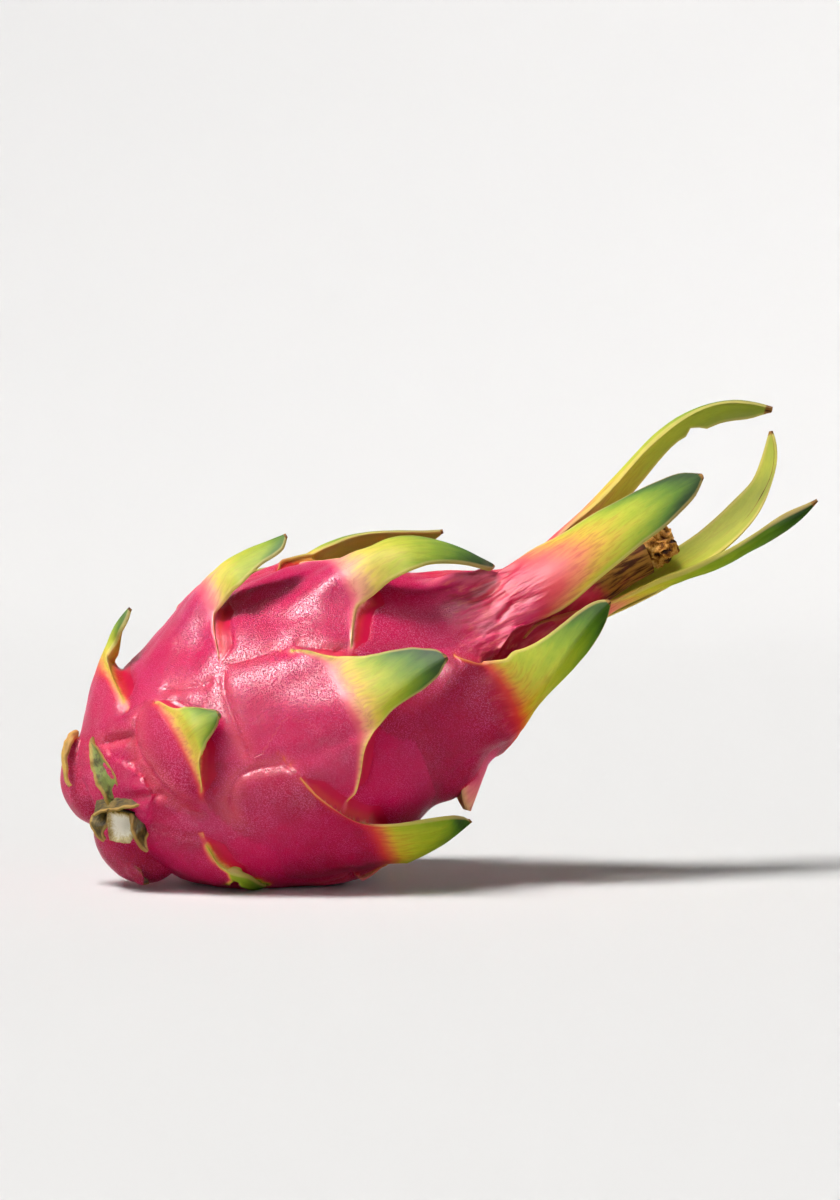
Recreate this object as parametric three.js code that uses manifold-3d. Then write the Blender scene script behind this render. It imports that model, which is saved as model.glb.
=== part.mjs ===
// A whole dragon fruit, as picked, lying on its side: the fruit with its fleshy scales and its crown, the dry
// stub of the stem at one end and the withered flower at the other.
//
// Millimetres, +Z up. The origin is the middle of the flat spot that the fruit rests on, +X points towards
// the crown and the fruit's own axis lies over the XZ plane, rising towards the crown.
//
// A place on the fruit is given by three numbers: "along" is how far along the axis from the stem end,
// "turn" is the angle round it in degrees (0 on the -Y side, 90 on top, 180 on the +Y side) and "out" is
// the distance from the axis.
import * as THREE from "three";
import { mergeVertices } from "three/addons/utils/BufferGeometryUtils.js";
import Module from "manifold-3d";

// ---- Driving dimensions ----

const TILT = THREE.MathUtils.degToRad(26); // how steeply the axis rises
const STEM_END = new THREE.Vector3(-45, 0, 18.2); // where the axis leaves the stem end
const STEM_BEND = { height: 6, length: 35 }; // the stem end bends up off the straight axis

// The bare body without its scales: [along, out]
const BODY = [
  [-3, 11],
  [0, 15],
  [3, 18],
  [8, 24],
  [15, 29.5],
  [25, 34],
  [38, 38],
  [50, 39.5],
  [62, 38.5],
  [74, 35],
  [85, 29.5],
  [95, 24],
  [104, 19],
  [112, 15],
  [120, 12],
  [130, 9.8],
  [140, 7.8],
  [149, 6.6],
  [155, 6.2],
];
const STEM_HOLLOW = 3; // depth of the hollow in the stem end
const FLOWER_HOLLOW = 4; // depth of the hollow at the end of the neck
const BODY_STEPS = { along: 40, round: 40 };
const FADE = { stem: 15, neck: 14 }; // lengths over which the shields die away at the ends

// A scale is a raised shield on the skin that ends in a free tongue.
const SCALE = {
  edge: 2.6, // how far the shield's front edge stands off the body
  ridgeWidth: 9, // half-width of the swelling that runs out into the tongue
  shield: 24, // length of the shield behind its front edge
  step: 5, // length over which the skin drops in front of that edge
  flare: 1.4, // how sharply the front edge sweeps sideways
  sunk: 1.5, // how deep the blade's root lies under the skin
  proud: 0.5, // how far the blade stands off the shield where it leaves it
  thick: 3.4, // thickness of the tongue at its root
  rim: 0.8, // thickness of its edges
  cup: 0.38, // how deep the tongue is hollowed, as a share of its half-width
  pull: [0.38, 0.36], // how far the tongue keeps its first and its last direction
};
const BLADE_STEPS = { root: 4, tongue: 7, across: 4 };

// at: [along, turn] of the place where the tongue leaves the skin, flank: half-width of the front edge,
// back: how far that edge sweeps back, tongue: half-width of the tongue, ridge: height of the swelling,
// tip: [along, out, turn], pitch: the tip's slope against the axis, taper: high for parallel sides.
// A scale may also have an edge, a cup or a pull of its own; one without a tip has no tongue.
const SCALES = [
  // round the stem end
  { at: [14, 92], flank: 16, back: 8, tongue: 5, ridge: 4, tip: [27, 47.5, 82], pitch: 12, taper: 1.6 },
  { at: [26, 20], flank: 16, back: 5, tongue: 7.5, ridge: 3, tip: [34, 42, 23], pitch: 10, taper: 1.3 },
  { at: [19, -48], flank: 14, back: 2, tongue: 4.5, ridge: 2, tip: [27.5, 35.5, -64], pitch: -5, taper: 2 },
  { at: [17, 158], flank: 16, back: 8, tongue: 6, ridge: 4, tip: [32, 44, 160], pitch: 5, taper: 1.8 },
  { at: [22, -128], flank: 15, back: 7, tongue: 5, ridge: 3, tip: [34, 38, -126], pitch: -5, taper: 1.8 },
  { at: [6, 38], flank: 9, back: 4, tongue: 2.5, ridge: 1.5 },
  { at: [11.5, 6], flank: 8, back: 4, tongue: 3, ridge: 2 },
  // round the belly
  { at: [46, 68], flank: 21, back: 9, tongue: 6.5, ridge: 5, tip: [70.5, 51.5, 66], pitch: 5, taper: 2 },
  { at: [57, -57], flank: 27, back: 11, tongue: 8.5, ridge: 3, tip: [81, 44, -68], pitch: 8, taper: 2 },
  { at: [68, 3], flank: 23, back: 10, tongue: 10, ridge: 4, tip: [91, 46, 4], pitch: 5, taper: 1.4 },
  { at: [50, 132], flank: 22, back: 11, tongue: 8, ridge: 5, tip: [76, 50, 136], pitch: 5, taper: 2 },
  { at: [62, -166], flank: 23, back: 12, tongue: 10, ridge: 5, tip: [92, 44, -166], pitch: 0, taper: 1.8 },
  {
    ...{ at: [57, -106], flank: 24, back: 9, tongue: 8, edge: 6, ridge: 1, tip: [82, 41, -112] },
    ...{ pitch: 5, taper: 2 },
  },
  // towards the neck
  {
    ...{ at: [81, 52], flank: 20, back: 11, tongue: 7, ridge: 7, tip: [116.2, 20.5, 49] },
    ...{ pitch: -60, taper: 2.2, pull: [0.4, 0.44] },
  },
  { at: [77, 118], flank: 19, back: 11, tongue: 8, ridge: 5, tip: [112, 33, 124], pitch: -14, taper: 2 },
  {
    ...{ at: [82, -84], flank: 19, back: 6, tongue: 5, edge: 5, ridge: 3, tip: [88.5, 36.5, -85] },
    ...{ pitch: -15, taper: 3 },
  },
  { at: [88, 172], flank: 19, back: 11, tongue: 8, ridge: 5, tip: [120, 26, 170], pitch: -20, taper: 2 },
  {
    ...{ at: [102, -42], flank: 21, back: 8, tongue: 8.5, edge: 5, ridge: 3, tip: [137.6, 24, -12.5] },
    ...{ pitch: 10, taper: 2.2 },
  },
  { at: [100, -138], flank: 17, back: 9, tongue: 8, ridge: 5, tip: [130, 27, -140], pitch: 5, taper: 2.2 },
  // the crown
  { at: [118, 22], flank: 12, back: 9, tongue: 8.5, ridge: 3, tip: [174.8, 22, 36.5], pitch: 0, taper: 2.8 },
  {
    ...{ at: [124, 95], flank: 10, back: 9, tongue: 5.5, ridge: -1.6, tip: [202, 19, 100] },
    ...{ pitch: -40, taper: 2.2, pull: [0.42, 0.42], cup: 0.9 },
  },
  {
    ...{ at: [124, -62], flank: 10, back: 8, tongue: 5, ridge: -1.2, tip: [201.5, 11, -46] },
    ...{ pitch: 12, taper: 2.4, pull: [0.45, 0.4] },
  },
  { at: [122, 165], flank: 11, back: 9, tongue: 6, ridge: 0, tip: [168, 17, 165], pitch: 0, taper: 2.6 },
];

// The thick lobes round the stem, and the bract of the crown that curls up. A path is four points, [along, front, over] from the stem end, that
// bend a line as a Bezier curve; facing is the way its outer face looks at the start and at the end.
const LOBES = [
  {
    path: [[1, 5, 0], [-10.5, 5, 2], [-8.5, 3, 18], [-1.5, 3, 26]],
    facing: [[-0.8, 0.6, -0.3], [-0.8, 0.3, 0.5]],
    half: [[0, 6], [0.3, 9], [0.7, 8], [1, 1.5]],
    thick: [[0, 9], [0.5, 8], [1, 1.5]],
    cup: 0.5,
  },
  {
    path: [[1, 7, 4], [-9.5, 8, -1], [-4.5, 10, -13], [2, 11, -18]],
    facing: [[-0.8, 0.6, 0.2], [-0.5, 0.75, -0.45]],
    half: [[0, 7], [0.35, 10], [0.75, 9], [1, 3]],
    thick: [[0, 9], [0.5, 8], [1, 1.5]],
    cup: 0.5,
  },
  {
    path: [[126, -6, -9], [165, -3, -11], [196, -12, -8], [203.5, -15, 12]],
    facing: [[0, -0.57, -0.82], [0.7, -0.7, -0.1]],
    half: [[0, 6], [0.4, 5], [0.75, 4.2], [1, 0.5]],
    thick: [[0, 2.6], [0.5, 2], [1, 1]],
    cup: 0.45,
  },
];

// The dry stub of the stem: a stalk cut across, between its roots and its pale cut face.
const STUB = {
  from: [5, 8, 1],
  to: [0.8, 19.4, -1.2],
  corners: [[13, 5.8], [100, 5.8], [203, 5.2], [269, 5]], // of the cut face: [angle, out]
  waist: 0.8, // the stalk's width under the cut face, as a share of it
  dish: 0.7, // depth of the hollow in the cut face
};

// The withered skin on the stub: the strip over the stem end, the roof over the stalk and the two flaps.
const WITHERED = [
  {
    path: [[2.6, 17, 3.5], [1.2, 18.5, 10], [1, 16.5, 17], [4.3, 11.5, 22.5]],
    facing: [[-0.1, 0.9, 0.3], [-0.6, 0.6, 0.1]],
    half: [[0, 2], [0.3, 2.2], [0.65, 2.5], [1, 0.4]],
    thick: [[0, 1.3], [1, 0.9]],
    cup: -0.35,
  },
  {
    path: [[-3, 14, 5.5], [1, 17.5, 6.4], [6, 20.5, 5.4], [10, 21.3, 2]],
    facing: [[-0.1, 0.4, 0.9], [0.1, 0.3, 0.9]],
    half: [[0, 3.2], [0.5, 3], [1, 0.5]],
    thick: [[0, 1.5], [1, 0.9]],
    cup: 0.2,
  },
  {
    path: [[3.4, 15, 0.5], [9, 19, 2], [7.5, 22, -4], [4.2, 21, -10.2]],
    facing: [[0.6, 0.3, 0.7], [0.9, 0.5, -0.2]],
    half: [[0, 2.6], [0.5, 2.3], [1, 0.5]],
    thick: [[0, 1.4], [1, 0.9]],
    cup: 0.25,
  },
  {
    path: [[1.8, 12.5, -0.8], [-3, 13.5, -1.5], [-5, 13, 1], [-4.6, 12.5, 3.5]],
    facing: [[-0.5, 0.8, 0.3], [-0.5, 0.8, 0]],
    half: [[0, 2], [0.5, 1.8], [1, 0.5]],
    thick: [[0, 1.2], [1, 0.9]],
    cup: 0.2,
  },
];

// The withered flower: [along, out] of its crumpled skin, and how strongly it is crumpled.
const FLOWER = {
  outline: [[151.6, 3.4], [154.5, 4.1], [157, 5], [160, 5.1], [162.5, 4.2], [163.4, 2.6]],
  crumple: 0.2,
  dish: 2.2, // depth of the hollow between its withered petals
};

const SEAT = 0.45; // clearance between the fruit and what sits in it

// ---- Small maths ----

const clamp01 = (x) => Math.min(1, Math.max(0, x));
const smooth = (x) => clamp01(x) ** 2 * (3 - 2 * clamp01(x));
const mix = (a, b, t) => a + (b - a) * t;
const degrees = THREE.MathUtils.degToRad;

// The height at x of a smooth curve through [x, y] knots.
function curveThrough(knots, x) {
  const last = knots.length - 1;
  let i = 0;
  while (i < last - 1 && x > knots[i + 1][0]) i++;
  const slope = (k) => {
    const [before, after] = [knots[Math.max(0, k - 1)], knots[Math.min(last, k + 1)]];
    return (after[1] - before[1]) / (after[0] - before[0]);
  };
  const [x0, y0] = knots[i];
  const [x1, y1] = knots[i + 1];
  const t = clamp01((x - x0) / (x1 - x0));
  const run = x1 - x0;
  return (
    y0 * (1 + 2 * t) * (1 - t) ** 2 +
    slope(i) * run * t * (1 - t) ** 2 +
    y1 * t ** 2 * (3 - 2 * t) +
    slope(i + 1) * run * t ** 2 * (t - 1)
  );
}

// The larger of two heights, with the crease between them rounded over `soft`.
function smoothMax(a, b, soft) {
  return Math.max(a, b) + Math.max(0, soft - Math.abs(a - b)) ** 2 / (4 * soft);
}

// ---- The fruit's own frame ----

const AXIS = new THREE.Vector3(Math.cos(TILT), 0, Math.sin(TILT));
const OVER = new THREE.Vector3(-Math.sin(TILT), 0, Math.cos(TILT)); // square to the axis, upwards
const FRONT = new THREE.Vector3(0, -1, 0);

function axisPoint(along) {
  const bend = STEM_BEND.height * clamp01(1 - along / STEM_BEND.length) ** 2;
  return STEM_END.clone().addScaledVector(AXIS, along).addScaledVector(OVER, bend);
}

function outward(turn) {
  return new THREE.Vector3()
    .addScaledVector(FRONT, Math.cos(turn))
    .addScaledVector(OVER, Math.sin(turn));
}

// A point given straight along the axis, to the front of it and over it.
function spot(along, front, over) {
  return STEM_END.clone()
    .addScaledVector(AXIS, along)
    .addScaledVector(FRONT, front)
    .addScaledVector(OVER, over);
}

function place(along, out, turn) {
  return axisPoint(along).addScaledVector(outward(turn), out);
}

const bodyRadius = (along) => curveThrough(BODY, along);
const wrapped = (turn) => Math.atan2(Math.sin(turn), Math.cos(turn));

// ---- Scales: the raised shields ----

// How far the front edge lies behind the tongue's root, at `side` from the scale's middle.
function sweptBack(scale, side) {
  const share = (Math.abs(side) - scale.tongue) / (scale.flank - scale.tongue);
  return share > 0 ? scale.back * share ** (1 / SCALE.flare) : 0;
}

// Height of a scale's shield over the bare body, at `ahead` of the tongue's root and `side` from its middle.
function shieldHeight(scale, ahead, side) {
  const behind = -ahead - sweptBack(scale, side);
  const swell = Math.exp(-((side / SCALE.ridgeWidth) ** 2));
  const full = (scale.edge ?? SCALE.edge) + scale.ridge * swell;
  const sideways = 1 - smooth((Math.abs(side) / scale.flank - 0.8) / 0.4);
  if (behind < 0) return full * sideways * (1 - smooth(-behind / SCALE.step));
  return full * sideways * clamp01(1 - behind / SCALE.shield) ** 1.7;
}

function relief(along, turn) {
  let height = 0;
  for (const scale of SCALES) {
    const side = bodyRadius(along) * wrapped(turn - degrees(scale.at[1]));
    if (Math.abs(side) > scale.flank * 1.3) continue;
    height = smoothMax(height, shieldHeight(scale, along - scale.at[0], side), 0.8);
  }
  const atStem = smooth((along - BODY[0][0]) / FADE.stem);
  const atNeck = smooth((BODY.at(-1)[0] - along) / FADE.neck);
  return height * atStem * atNeck;
}

// ---- Scales: the free blades ----

// The scale's outer face where it still lies on the skin, `ahead` <= 0.
function onSkin(scale, ahead, side) {
  const along = scale.at[0] + ahead;
  const turn = degrees(scale.at[1]) + side / bodyRadius(along);
  const flanks = (side / scale.flank) ** 2 * (-ahead / scale.back);
  const lift = mix(-SCALE.sunk, SCALE.proud, smooth(1 + ahead / scale.back)) - flanks;
  return place(along, bodyRadius(along) + shieldHeight(scale, ahead, side) + lift, turn);
}

// The middle line of the free tongue, leaving the skin along its own slope.
function tongueLine(scale) {
  const [along, out, turn] = scale.tip;
  const start = onSkin(scale, 0, 0);
  const end = place(along, out, degrees(turn));
  const leaving = start.clone().sub(onSkin(scale, -2, 0)).normalize();
  const arriving = AXIS.clone()
    .multiplyScalar(Math.cos(degrees(scale.pitch)))
    .addScaledVector(outward(degrees(turn)), Math.sin(degrees(scale.pitch)));
  const reach = start.distanceTo(end);
  const pull = scale.pull ?? SCALE.pull;
  return new THREE.CubicBezierCurve3(
    start,
    start.clone().addScaledVector(leaving, pull[0] * reach),
    end.clone().addScaledVector(arriving, -pull[1] * reach),
    end,
  );
}

// One row of a blade: its points across, from one edge to the other, on the outer and the inner face.
function bladeRow(scale, line, step) {
  const outer = [];
  const inner = [];
  const { root, tongue, across } = BLADE_STEPS;
  const onRoot = step <= root;
  const ahead = onRoot ? -scale.back * (1 - step / root) : 0;
  const t = onRoot ? 0 : (step - root) / tongue;
  const flare = (-ahead / scale.back) ** SCALE.flare;
  const narrowing = (1 - Math.min(t, 0.995) ** scale.taper) ** 0.75;
  const half = onRoot ? mix(scale.tongue, scale.flank, flare) : scale.tongue * narrowing;
  const middle = line.getPoint(t);
  const forward = line.getTangent(t);
  const turn = degrees(mix(scale.at[1], nearTurn(scale.tip[2], scale.at[1]), t));
  const outwards = outward(turn);
  const sideways = new THREE.Vector3().crossVectors(forward, outwards).normalize();
  const facing = new THREE.Vector3().crossVectors(sideways, forward);
  const thick = mix(SCALE.thick, 1.2, t);
  for (let k = 0; k <= across; k++) {
    const q = (2 * k) / across - 1;
    const side = q * half;
    const depth = SCALE.rim + (thick - SCALE.rim) * (1 - q * q);
    let point;
    let inwards;
    if (onRoot) {
      point = onSkin(scale, ahead, -side);
      inwards = outward(degrees(scale.at[1]) - side / bodyRadius(scale.at[0] + ahead));
    } else {
      point = middle
        .clone()
        .addScaledVector(sideways, side)
        .addScaledVector(facing, -(scale.cup ?? SCALE.cup) * q * q * half);
      inwards = facing;
    }
    outer.push(point);
    inner.push(point.clone().addScaledVector(inwards, -depth));
  }
  return { outer, inner };
}

// `turn` in the full turn nearest to `other`, both in degrees.
function nearTurn(turn, other) {
  return turn - 360 * Math.round((turn - other) / 360);
}

// ---- Solids ----

const wasm = await Module();
wasm.setup();

// A solid from points and triangles; turned the right way out if the triangles face inwards.
function solid(points, triangles) {
  const make = (order) =>
    new wasm.Manifold(
      new wasm.Mesh({
        numProp: 3,
        vertProperties: new Float32Array(points.flatMap((p) => [p.x, p.y, p.z])),
        triVerts: new Uint32Array(order),
      }),
    );
  const made = make(triangles);
  return made.volume() >= 0 ? made : make(triangles.slice().reverse());
}

// A closed skin over two grids of points that face each other, outer and inner: a curved plate.
function plate(rows) {
  const across = rows[0].outer.length;
  const points = rows.flatMap(({ outer, inner }) => [...outer, ...inner]);
  const outer = (r, k) => r * 2 * across + k;
  const inner = (r, k) => outer(r, k) + across;
  const triangles = [];
  const quad = (a, b, c, d) => triangles.push(a, b, c, a, c, d);
  const end = rows.length - 1;
  for (let r = 0; r < end; r++) {
    for (let k = 0; k < across - 1; k++) {
      quad(outer(r, k), outer(r, k + 1), outer(r + 1, k + 1), outer(r + 1, k));
      quad(inner(r, k), inner(r + 1, k), inner(r + 1, k + 1), inner(r, k + 1));
    }
    quad(outer(r, 0), outer(r + 1, 0), inner(r + 1, 0), inner(r, 0));
    const k = across - 1;
    quad(outer(r, k), inner(r, k), inner(r + 1, k), outer(r + 1, k));
  }
  for (let k = 0; k < across - 1; k++) {
    quad(outer(0, k), inner(0, k), inner(0, k + 1), outer(0, k + 1));
    quad(outer(end, k), outer(end, k + 1), inner(end, k + 1), inner(end, k));
  }
  return solid(points, triangles);
}

// A closed skin over rings of equal count, each end closed on a middle point.
function barrel(rings, start, end) {
  const round = rings[0].length;
  const points = [start, ...rings.flat(), end];
  const at = (r, k) => 1 + r * round + (k % round);
  const triangles = [];
  for (let k = 0; k < round; k++) {
    triangles.push(0, at(0, k + 1), at(0, k));
    triangles.push(points.length - 1, at(rings.length - 1, k), at(rings.length - 1, k + 1));
    for (let r = 0; r < rings.length - 1; r++)
      triangles.push(
        ...[at(r, k), at(r, k + 1), at(r + 1, k + 1)],
        ...[at(r, k), at(r + 1, k + 1), at(r + 1, k)],
      );
  }
  return solid(points, triangles);
}

function body() {
  const { along: steps, round } = BODY_STEPS;
  const ring = (point) =>
    Array.from({ length: round }, (_, k) => point((k / round) * 2 * Math.PI));
  const [[first, firstRadius], [last, lastRadius]] = [BODY[0], BODY.at(-1)];
  const stemHollow = (share) => first + STEM_HOLLOW * (1 - share ** 2);
  const rings = [0.35, 0.7].map((share) =>
    ring((turn) => place(stemHollow(share), firstRadius * share, turn)),
  );
  for (let i = 0; i <= steps; i++) {
    const along = mix(first, last, i / steps);
    rings.push(ring((turn) => place(along, bodyRadius(along) + relief(along, turn), turn)));
  }
  rings.push(ring((turn) => place(last - FLOWER_HOLLOW, lastRadius * 0.8, turn)));
  return barrel(rings, place(stemHollow(0), 0, 0), place(last - FLOWER_HOLLOW, 0, 0));
}

function blade(scale) {
  const line = tongueLine(scale);
  const rows = [];
  for (let step = 0; step <= BLADE_STEPS.root + BLADE_STEPS.tongue; step++)
    rows.push(bladeRow(scale, line, step));
  return plate(rows);
}

// A curved plate along a bent line, `grow` larger all round.
function lobe({ path, facing, half, thick, cup }, grow = 0, steps = 8, across = 4) {
  const line = new THREE.CubicBezierCurve3(...path.map((point) => spot(...point)));
  const looks = facing.map((way) => spot(...way).sub(STEM_END));
  const rows = [];
  for (let i = 0; i <= steps; i++) {
    const t = i / steps;
    const forward = line.getTangent(t);
    const sideways = forward.clone().cross(looks[0].clone().lerp(looks[1], t)).normalize();
    const outwards = sideways.clone().cross(forward);
    const middle = line.getPoint(mix(-grow / 20, 1 + grow / 20, t));
    const [width, depth] = [curveThrough(half, t) + grow, curveThrough(thick, t)];
    const outer = [];
    const inner = [];
    for (let k = 0; k <= across; k++) {
      const q = (2 * k) / across - 1;
      const point = middle.clone().addScaledVector(sideways, q * width);
      const through = mix(SCALE.rim, depth, 1 - q * q);
      outer.push(point.clone().addScaledVector(outwards, grow - cup * q * q * width));
      inner.push(point.clone().addScaledVector(outwards, -grow - cup * q * q * width - through));
    }
    rows.push({ outer, inner });
  }
  return plate(rows);
}

function box(size, centre) {
  const geometry = new THREE.BoxGeometry(...size).translate(...centre);
  return fromGeometry(geometry);
}

function fromGeometry(geometry) {
  geometry.deleteAttribute("normal");
  geometry.deleteAttribute("uv");
  const merged = mergeVertices(geometry, 1e-4);
  return new wasm.Manifold(
    new wasm.Mesh({
      numProp: 3,
      vertProperties: merged.attributes.position.array,
      triVerts: new Uint32Array(merged.index.array),
    }),
  );
}

// The stalk of the stub, `grow` larger all round.
function stalk(grow = 0) {
  const [from, to] = [spot(...STUB.from), spot(...STUB.to)];
  const forward = to.clone().sub(from).normalize();
  const sideways = forward.clone().cross(OVER).normalize();
  const upwards = sideways.clone().cross(forward);
  const corners = STUB.corners.map(([angle, out]) => {
    const along = sideways.clone().multiplyScalar(-Math.cos(degrees(angle)) * (out + grow));
    return along.addScaledVector(upwards, Math.sin(degrees(angle)) * (out + grow));
  });
  const outline = corners.flatMap((corner, i) => {
    const next = corners[(i + 1) % corners.length];
    return [0, 0.33, 0.67].map((t) => corner.clone().lerp(next, t).multiplyScalar(1 + 0.3 * t * (1 - t)));
  });
  const reach = from.distanceTo(to);
  const ring = (way, share) => {
    const middle = from.clone().addScaledVector(forward, way);
    return outline.map((point) => middle.clone().addScaledVector(point, share));
  };
  const rings = [
    ring(-grow, STUB.waist * 0.9),
    ring(reach * 0.5, STUB.waist),
    ring(reach * 0.8, STUB.waist),
    ring(reach * 0.93, 0.95),
    ring(reach + grow, 1),
    ring(reach + grow, 0.85),
  ];
  return barrel(rings, rings[0][0].clone().lerp(rings[0][6], 0.5), to.clone().addScaledVector(forward, grow - STUB.dish));
}

function stemStub(grow = 0) {
  return wasm.Manifold.union([stalk(grow), ...WITHERED.map((shape) => lobe(shape, grow))]);
}

function flowerRemnant() {
  const round = 18;
  const steps = 9;
  const [first, last] = [FLOWER.outline[0][0], FLOWER.outline.at(-1)[0]];
  const folds = (turn, t) => Math.sin(3 * turn + 4 * t) + 0.6 * Math.sin(5 * turn - 5 * t + 1);
  const ring = (along, out) =>
    Array.from({ length: round }, (_, k) => {
      const turn = (k / round) * 2 * Math.PI;
      const t = (along - first) / (last - first);
      const crumpled = 1 + FLOWER.crumple * smooth(t * 1.6 - 0.3) * folds(turn, t);
      return place(along, out * crumpled, turn);
    });
  const rings = [];
  for (let i = 0; i <= steps; i++) {
    const along = mix(first, last, i / steps);
    rings.push(ring(along, curveThrough(FLOWER.outline, along)));
  }
  return barrel(rings, place(first, 0, 0), place(last - FLOWER.dish, 0, 0));
}

function fruit() {
  const whole = wasm.Manifold.union([
    body(),
    ...SCALES.filter((scale) => scale.tip).map(blade),
    ...LOBES.map((shape) => lobe(shape)),
  ]);
  return whole.subtract(box([600, 600, 100], [0, 0, -50])).subtract(stemStub(SEAT));
}

// ---- The model ----

function mesh(name, made, colour, roughness) {
  const { vertProperties, triVerts, numProp } = made.getMesh();
  const count = vertProperties.length / numProp;
  const positions = new Float32Array(count * 3);
  for (let i = 0; i < count; i++)
    positions.set(vertProperties.subarray(i * numProp, i * numProp + 3), i * 3);
  const geometry = new THREE.BufferGeometry()
    .setAttribute("position", new THREE.BufferAttribute(positions, 3))
    .setIndex(new THREE.BufferAttribute(triVerts, 1));
  geometry.computeVertexNormals();
  const material = new THREE.MeshStandardMaterial({ color: colour, roughness, metalness: 0 });
  const piece = new THREE.Mesh(geometry, material);
  piece.name = name;
  return piece;
}

const dragonFruit = new THREE.Group();
dragonFruit.add(
  mesh("fruit", fruit(), 0xd42a66, 0.42),
  mesh("stem_stub", stemStub(), 0xc9b48a, 0.85),
  mesh("flower_remnant", flowerRemnant(), 0x8a6534, 0.9),
);

export default dragonFruit;
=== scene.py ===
# The looks of a dragon fruit lying on its side: fine meshes built in code and procedural materials round
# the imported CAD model. Shapes are worked out in millimetres and turned into metres when a mesh is made. A
# place is given by along (how far along the axis from the stem end), turn (the angle round it, 0 in front
# and 90 degrees on top) and out (the distance from the axis).
import math

import bpy
import numpy as np
from mathutils import Matrix, Vector
from mathutils.bvhtree import BVHTree


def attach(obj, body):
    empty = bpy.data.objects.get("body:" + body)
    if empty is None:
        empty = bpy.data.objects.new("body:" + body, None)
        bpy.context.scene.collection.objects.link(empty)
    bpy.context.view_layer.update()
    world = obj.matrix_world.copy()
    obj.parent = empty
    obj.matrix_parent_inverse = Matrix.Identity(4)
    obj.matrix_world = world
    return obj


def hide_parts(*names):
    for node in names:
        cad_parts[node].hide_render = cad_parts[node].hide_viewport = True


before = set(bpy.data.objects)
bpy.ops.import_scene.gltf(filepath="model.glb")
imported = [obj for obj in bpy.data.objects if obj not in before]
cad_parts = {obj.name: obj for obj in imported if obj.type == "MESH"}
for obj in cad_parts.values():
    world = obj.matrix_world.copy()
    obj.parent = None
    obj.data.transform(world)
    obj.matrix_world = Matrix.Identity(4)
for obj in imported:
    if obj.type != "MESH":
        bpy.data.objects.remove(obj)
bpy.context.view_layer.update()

MM = 0.001

# ---- Driving dimensions; the body's, down to FADE, are those of the CAD source ----

TILT = math.radians(26)
STEM_END = np.array([-45.0, 0.0, 18.2])
STEM_BEND = {"height": 6.0, "length": 35.0}
BODY = [
    (-3, 11), (0, 15), (3, 18), (8, 24), (15, 29.5), (25, 34), (38, 38), (50, 39.5), (62, 38.5), (74, 35),
    (85, 29.5), (95, 24), (104, 19), (112, 15), (120, 12), (130, 9.8), (140, 7.8), (149, 6.6), (155, 6.2),
]
STEM_HOLLOW = 3.0
FLOWER_HOLLOW = 4.0
FADE = {"stem": 15.0, "neck": 14.0}  # lengths over which the shields die away at the ends

EDGE = 2.6  # how far a shield's front edge stands off the body
RIDGE_WIDTH = 9.0  # half-width of the swelling that runs out into the tongue
SHIELD = 24.0  # length of the shield behind its front edge
STEP = 1.9  # length over which the skin drops in front of that edge
OVERHANG = 1.0  # how far the bract's thin edge hangs over that drop
FLARE = 1.4  # how sharply the front edge sweeps sideways
SUNK = 1.3  # how deep a bract's root lies under the skin
FAR = 9.0  # stands for no edge or crease near
PROUD = 0.45  # how far the bract stands off the shield where it leaves it
TROUGH = {"length": 4.3, "depth": 0.35}  # smooth strip of skin in front of a shield's edge
THICK = 3.4  # of a tongue at its root
TIP_THICK = 1.2
RIM = 0.8  # thickness of its edges
THINNEST = 0.2  # least half-width of a tongue
CUP = 0.38  # how deep it is hollowed, as a share of its half-width
PULL = (0.38, 0.36)  # how far it keeps its first and its last direction
GRAIN = 7.0  # how many times longer than wide the skin's streaks are
APART = 40  # keeps one bract's streaks unlike the next one's
LIP = {"bract": 0.8, "lobe": 1.3}  # how far in from a sheet's edges its rim's colour reaches
LUMPS = ((0.35, 26, 3), (0.12, 9, 4))  # height, size, seed
NECK_WRINKLES = ((0.2, 5, 11), (0.11, 2.2, 12))  # height, size, seed
CREASE = ((0.5, 2.2), (0.3, 0.8))  # depth and width of its hollow, and of the line in it

# Where along the axis something sets in, and over what length
NECK = (103, 12)
SLEEK = (96, 7)
WRINKLES = (92, 16)
WITHERED_AND_SHADED = (128, 16)
RIPENING = (132, 22)
NO_TROUGH = (90, 6)
TROUGHS = (12, 5)
# Painted shade under the shields' lips
LIP_SHADOWS = (8, 8)

# Mesh fineness
BODY_ROWS = 210
BODY_ROUND = 244
ROOT_ROWS = 12
TONGUE_ROWS = 30
ACROSS = 20
STUB_SIDE = 12
FLOWER_ROWS = 44
FLOWER_ROUND = 120
SEAM_ROUNDS = {"reach": 5, "points": 14, "colour": 7}  # how often a seam is evened out over its neighbours


# ---- Small maths ----

def clamp01(x):
    return np.clip(x, 0.0, 1.0)


def smooth(x):
    x = clamp01(x)
    return x * x * (3 - 2 * x)


def sets_in(along, zone):
    start, length = zone
    return smooth((along - start) / length)


def mix(a, b, t):
    return a + (b - a) * t


def unit(v):
    return v / (np.linalg.norm(v, axis=-1, keepdims=True) + 1e-12)


def pair(x):
    return x if isinstance(x, tuple) else (x, x)


def curve_through(knots, x):
    """The height at x of a smooth curve through (x, y) knots."""
    x = np.asarray(x, float)
    kx, ky = np.array(knots, float).T
    last = len(kx) - 1
    before = np.maximum(np.arange(last + 1) - 1, 0)
    after = np.minimum(np.arange(last + 1) + 1, last)
    slope = (ky[after] - ky[before]) / (kx[after] - kx[before])
    i = np.clip(np.searchsorted(kx, x, side="left") - 1, 0, last - 1)
    run = kx[i + 1] - kx[i]
    t = clamp01((x - kx[i]) / run)
    return (ky[i] * (1 + 2 * t) * (1 - t) ** 2 + slope[i] * run * t * (1 - t) ** 2
            + ky[i + 1] * t**2 * (3 - 2 * t) + slope[i + 1] * run * t**2 * (t - 1))


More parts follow.
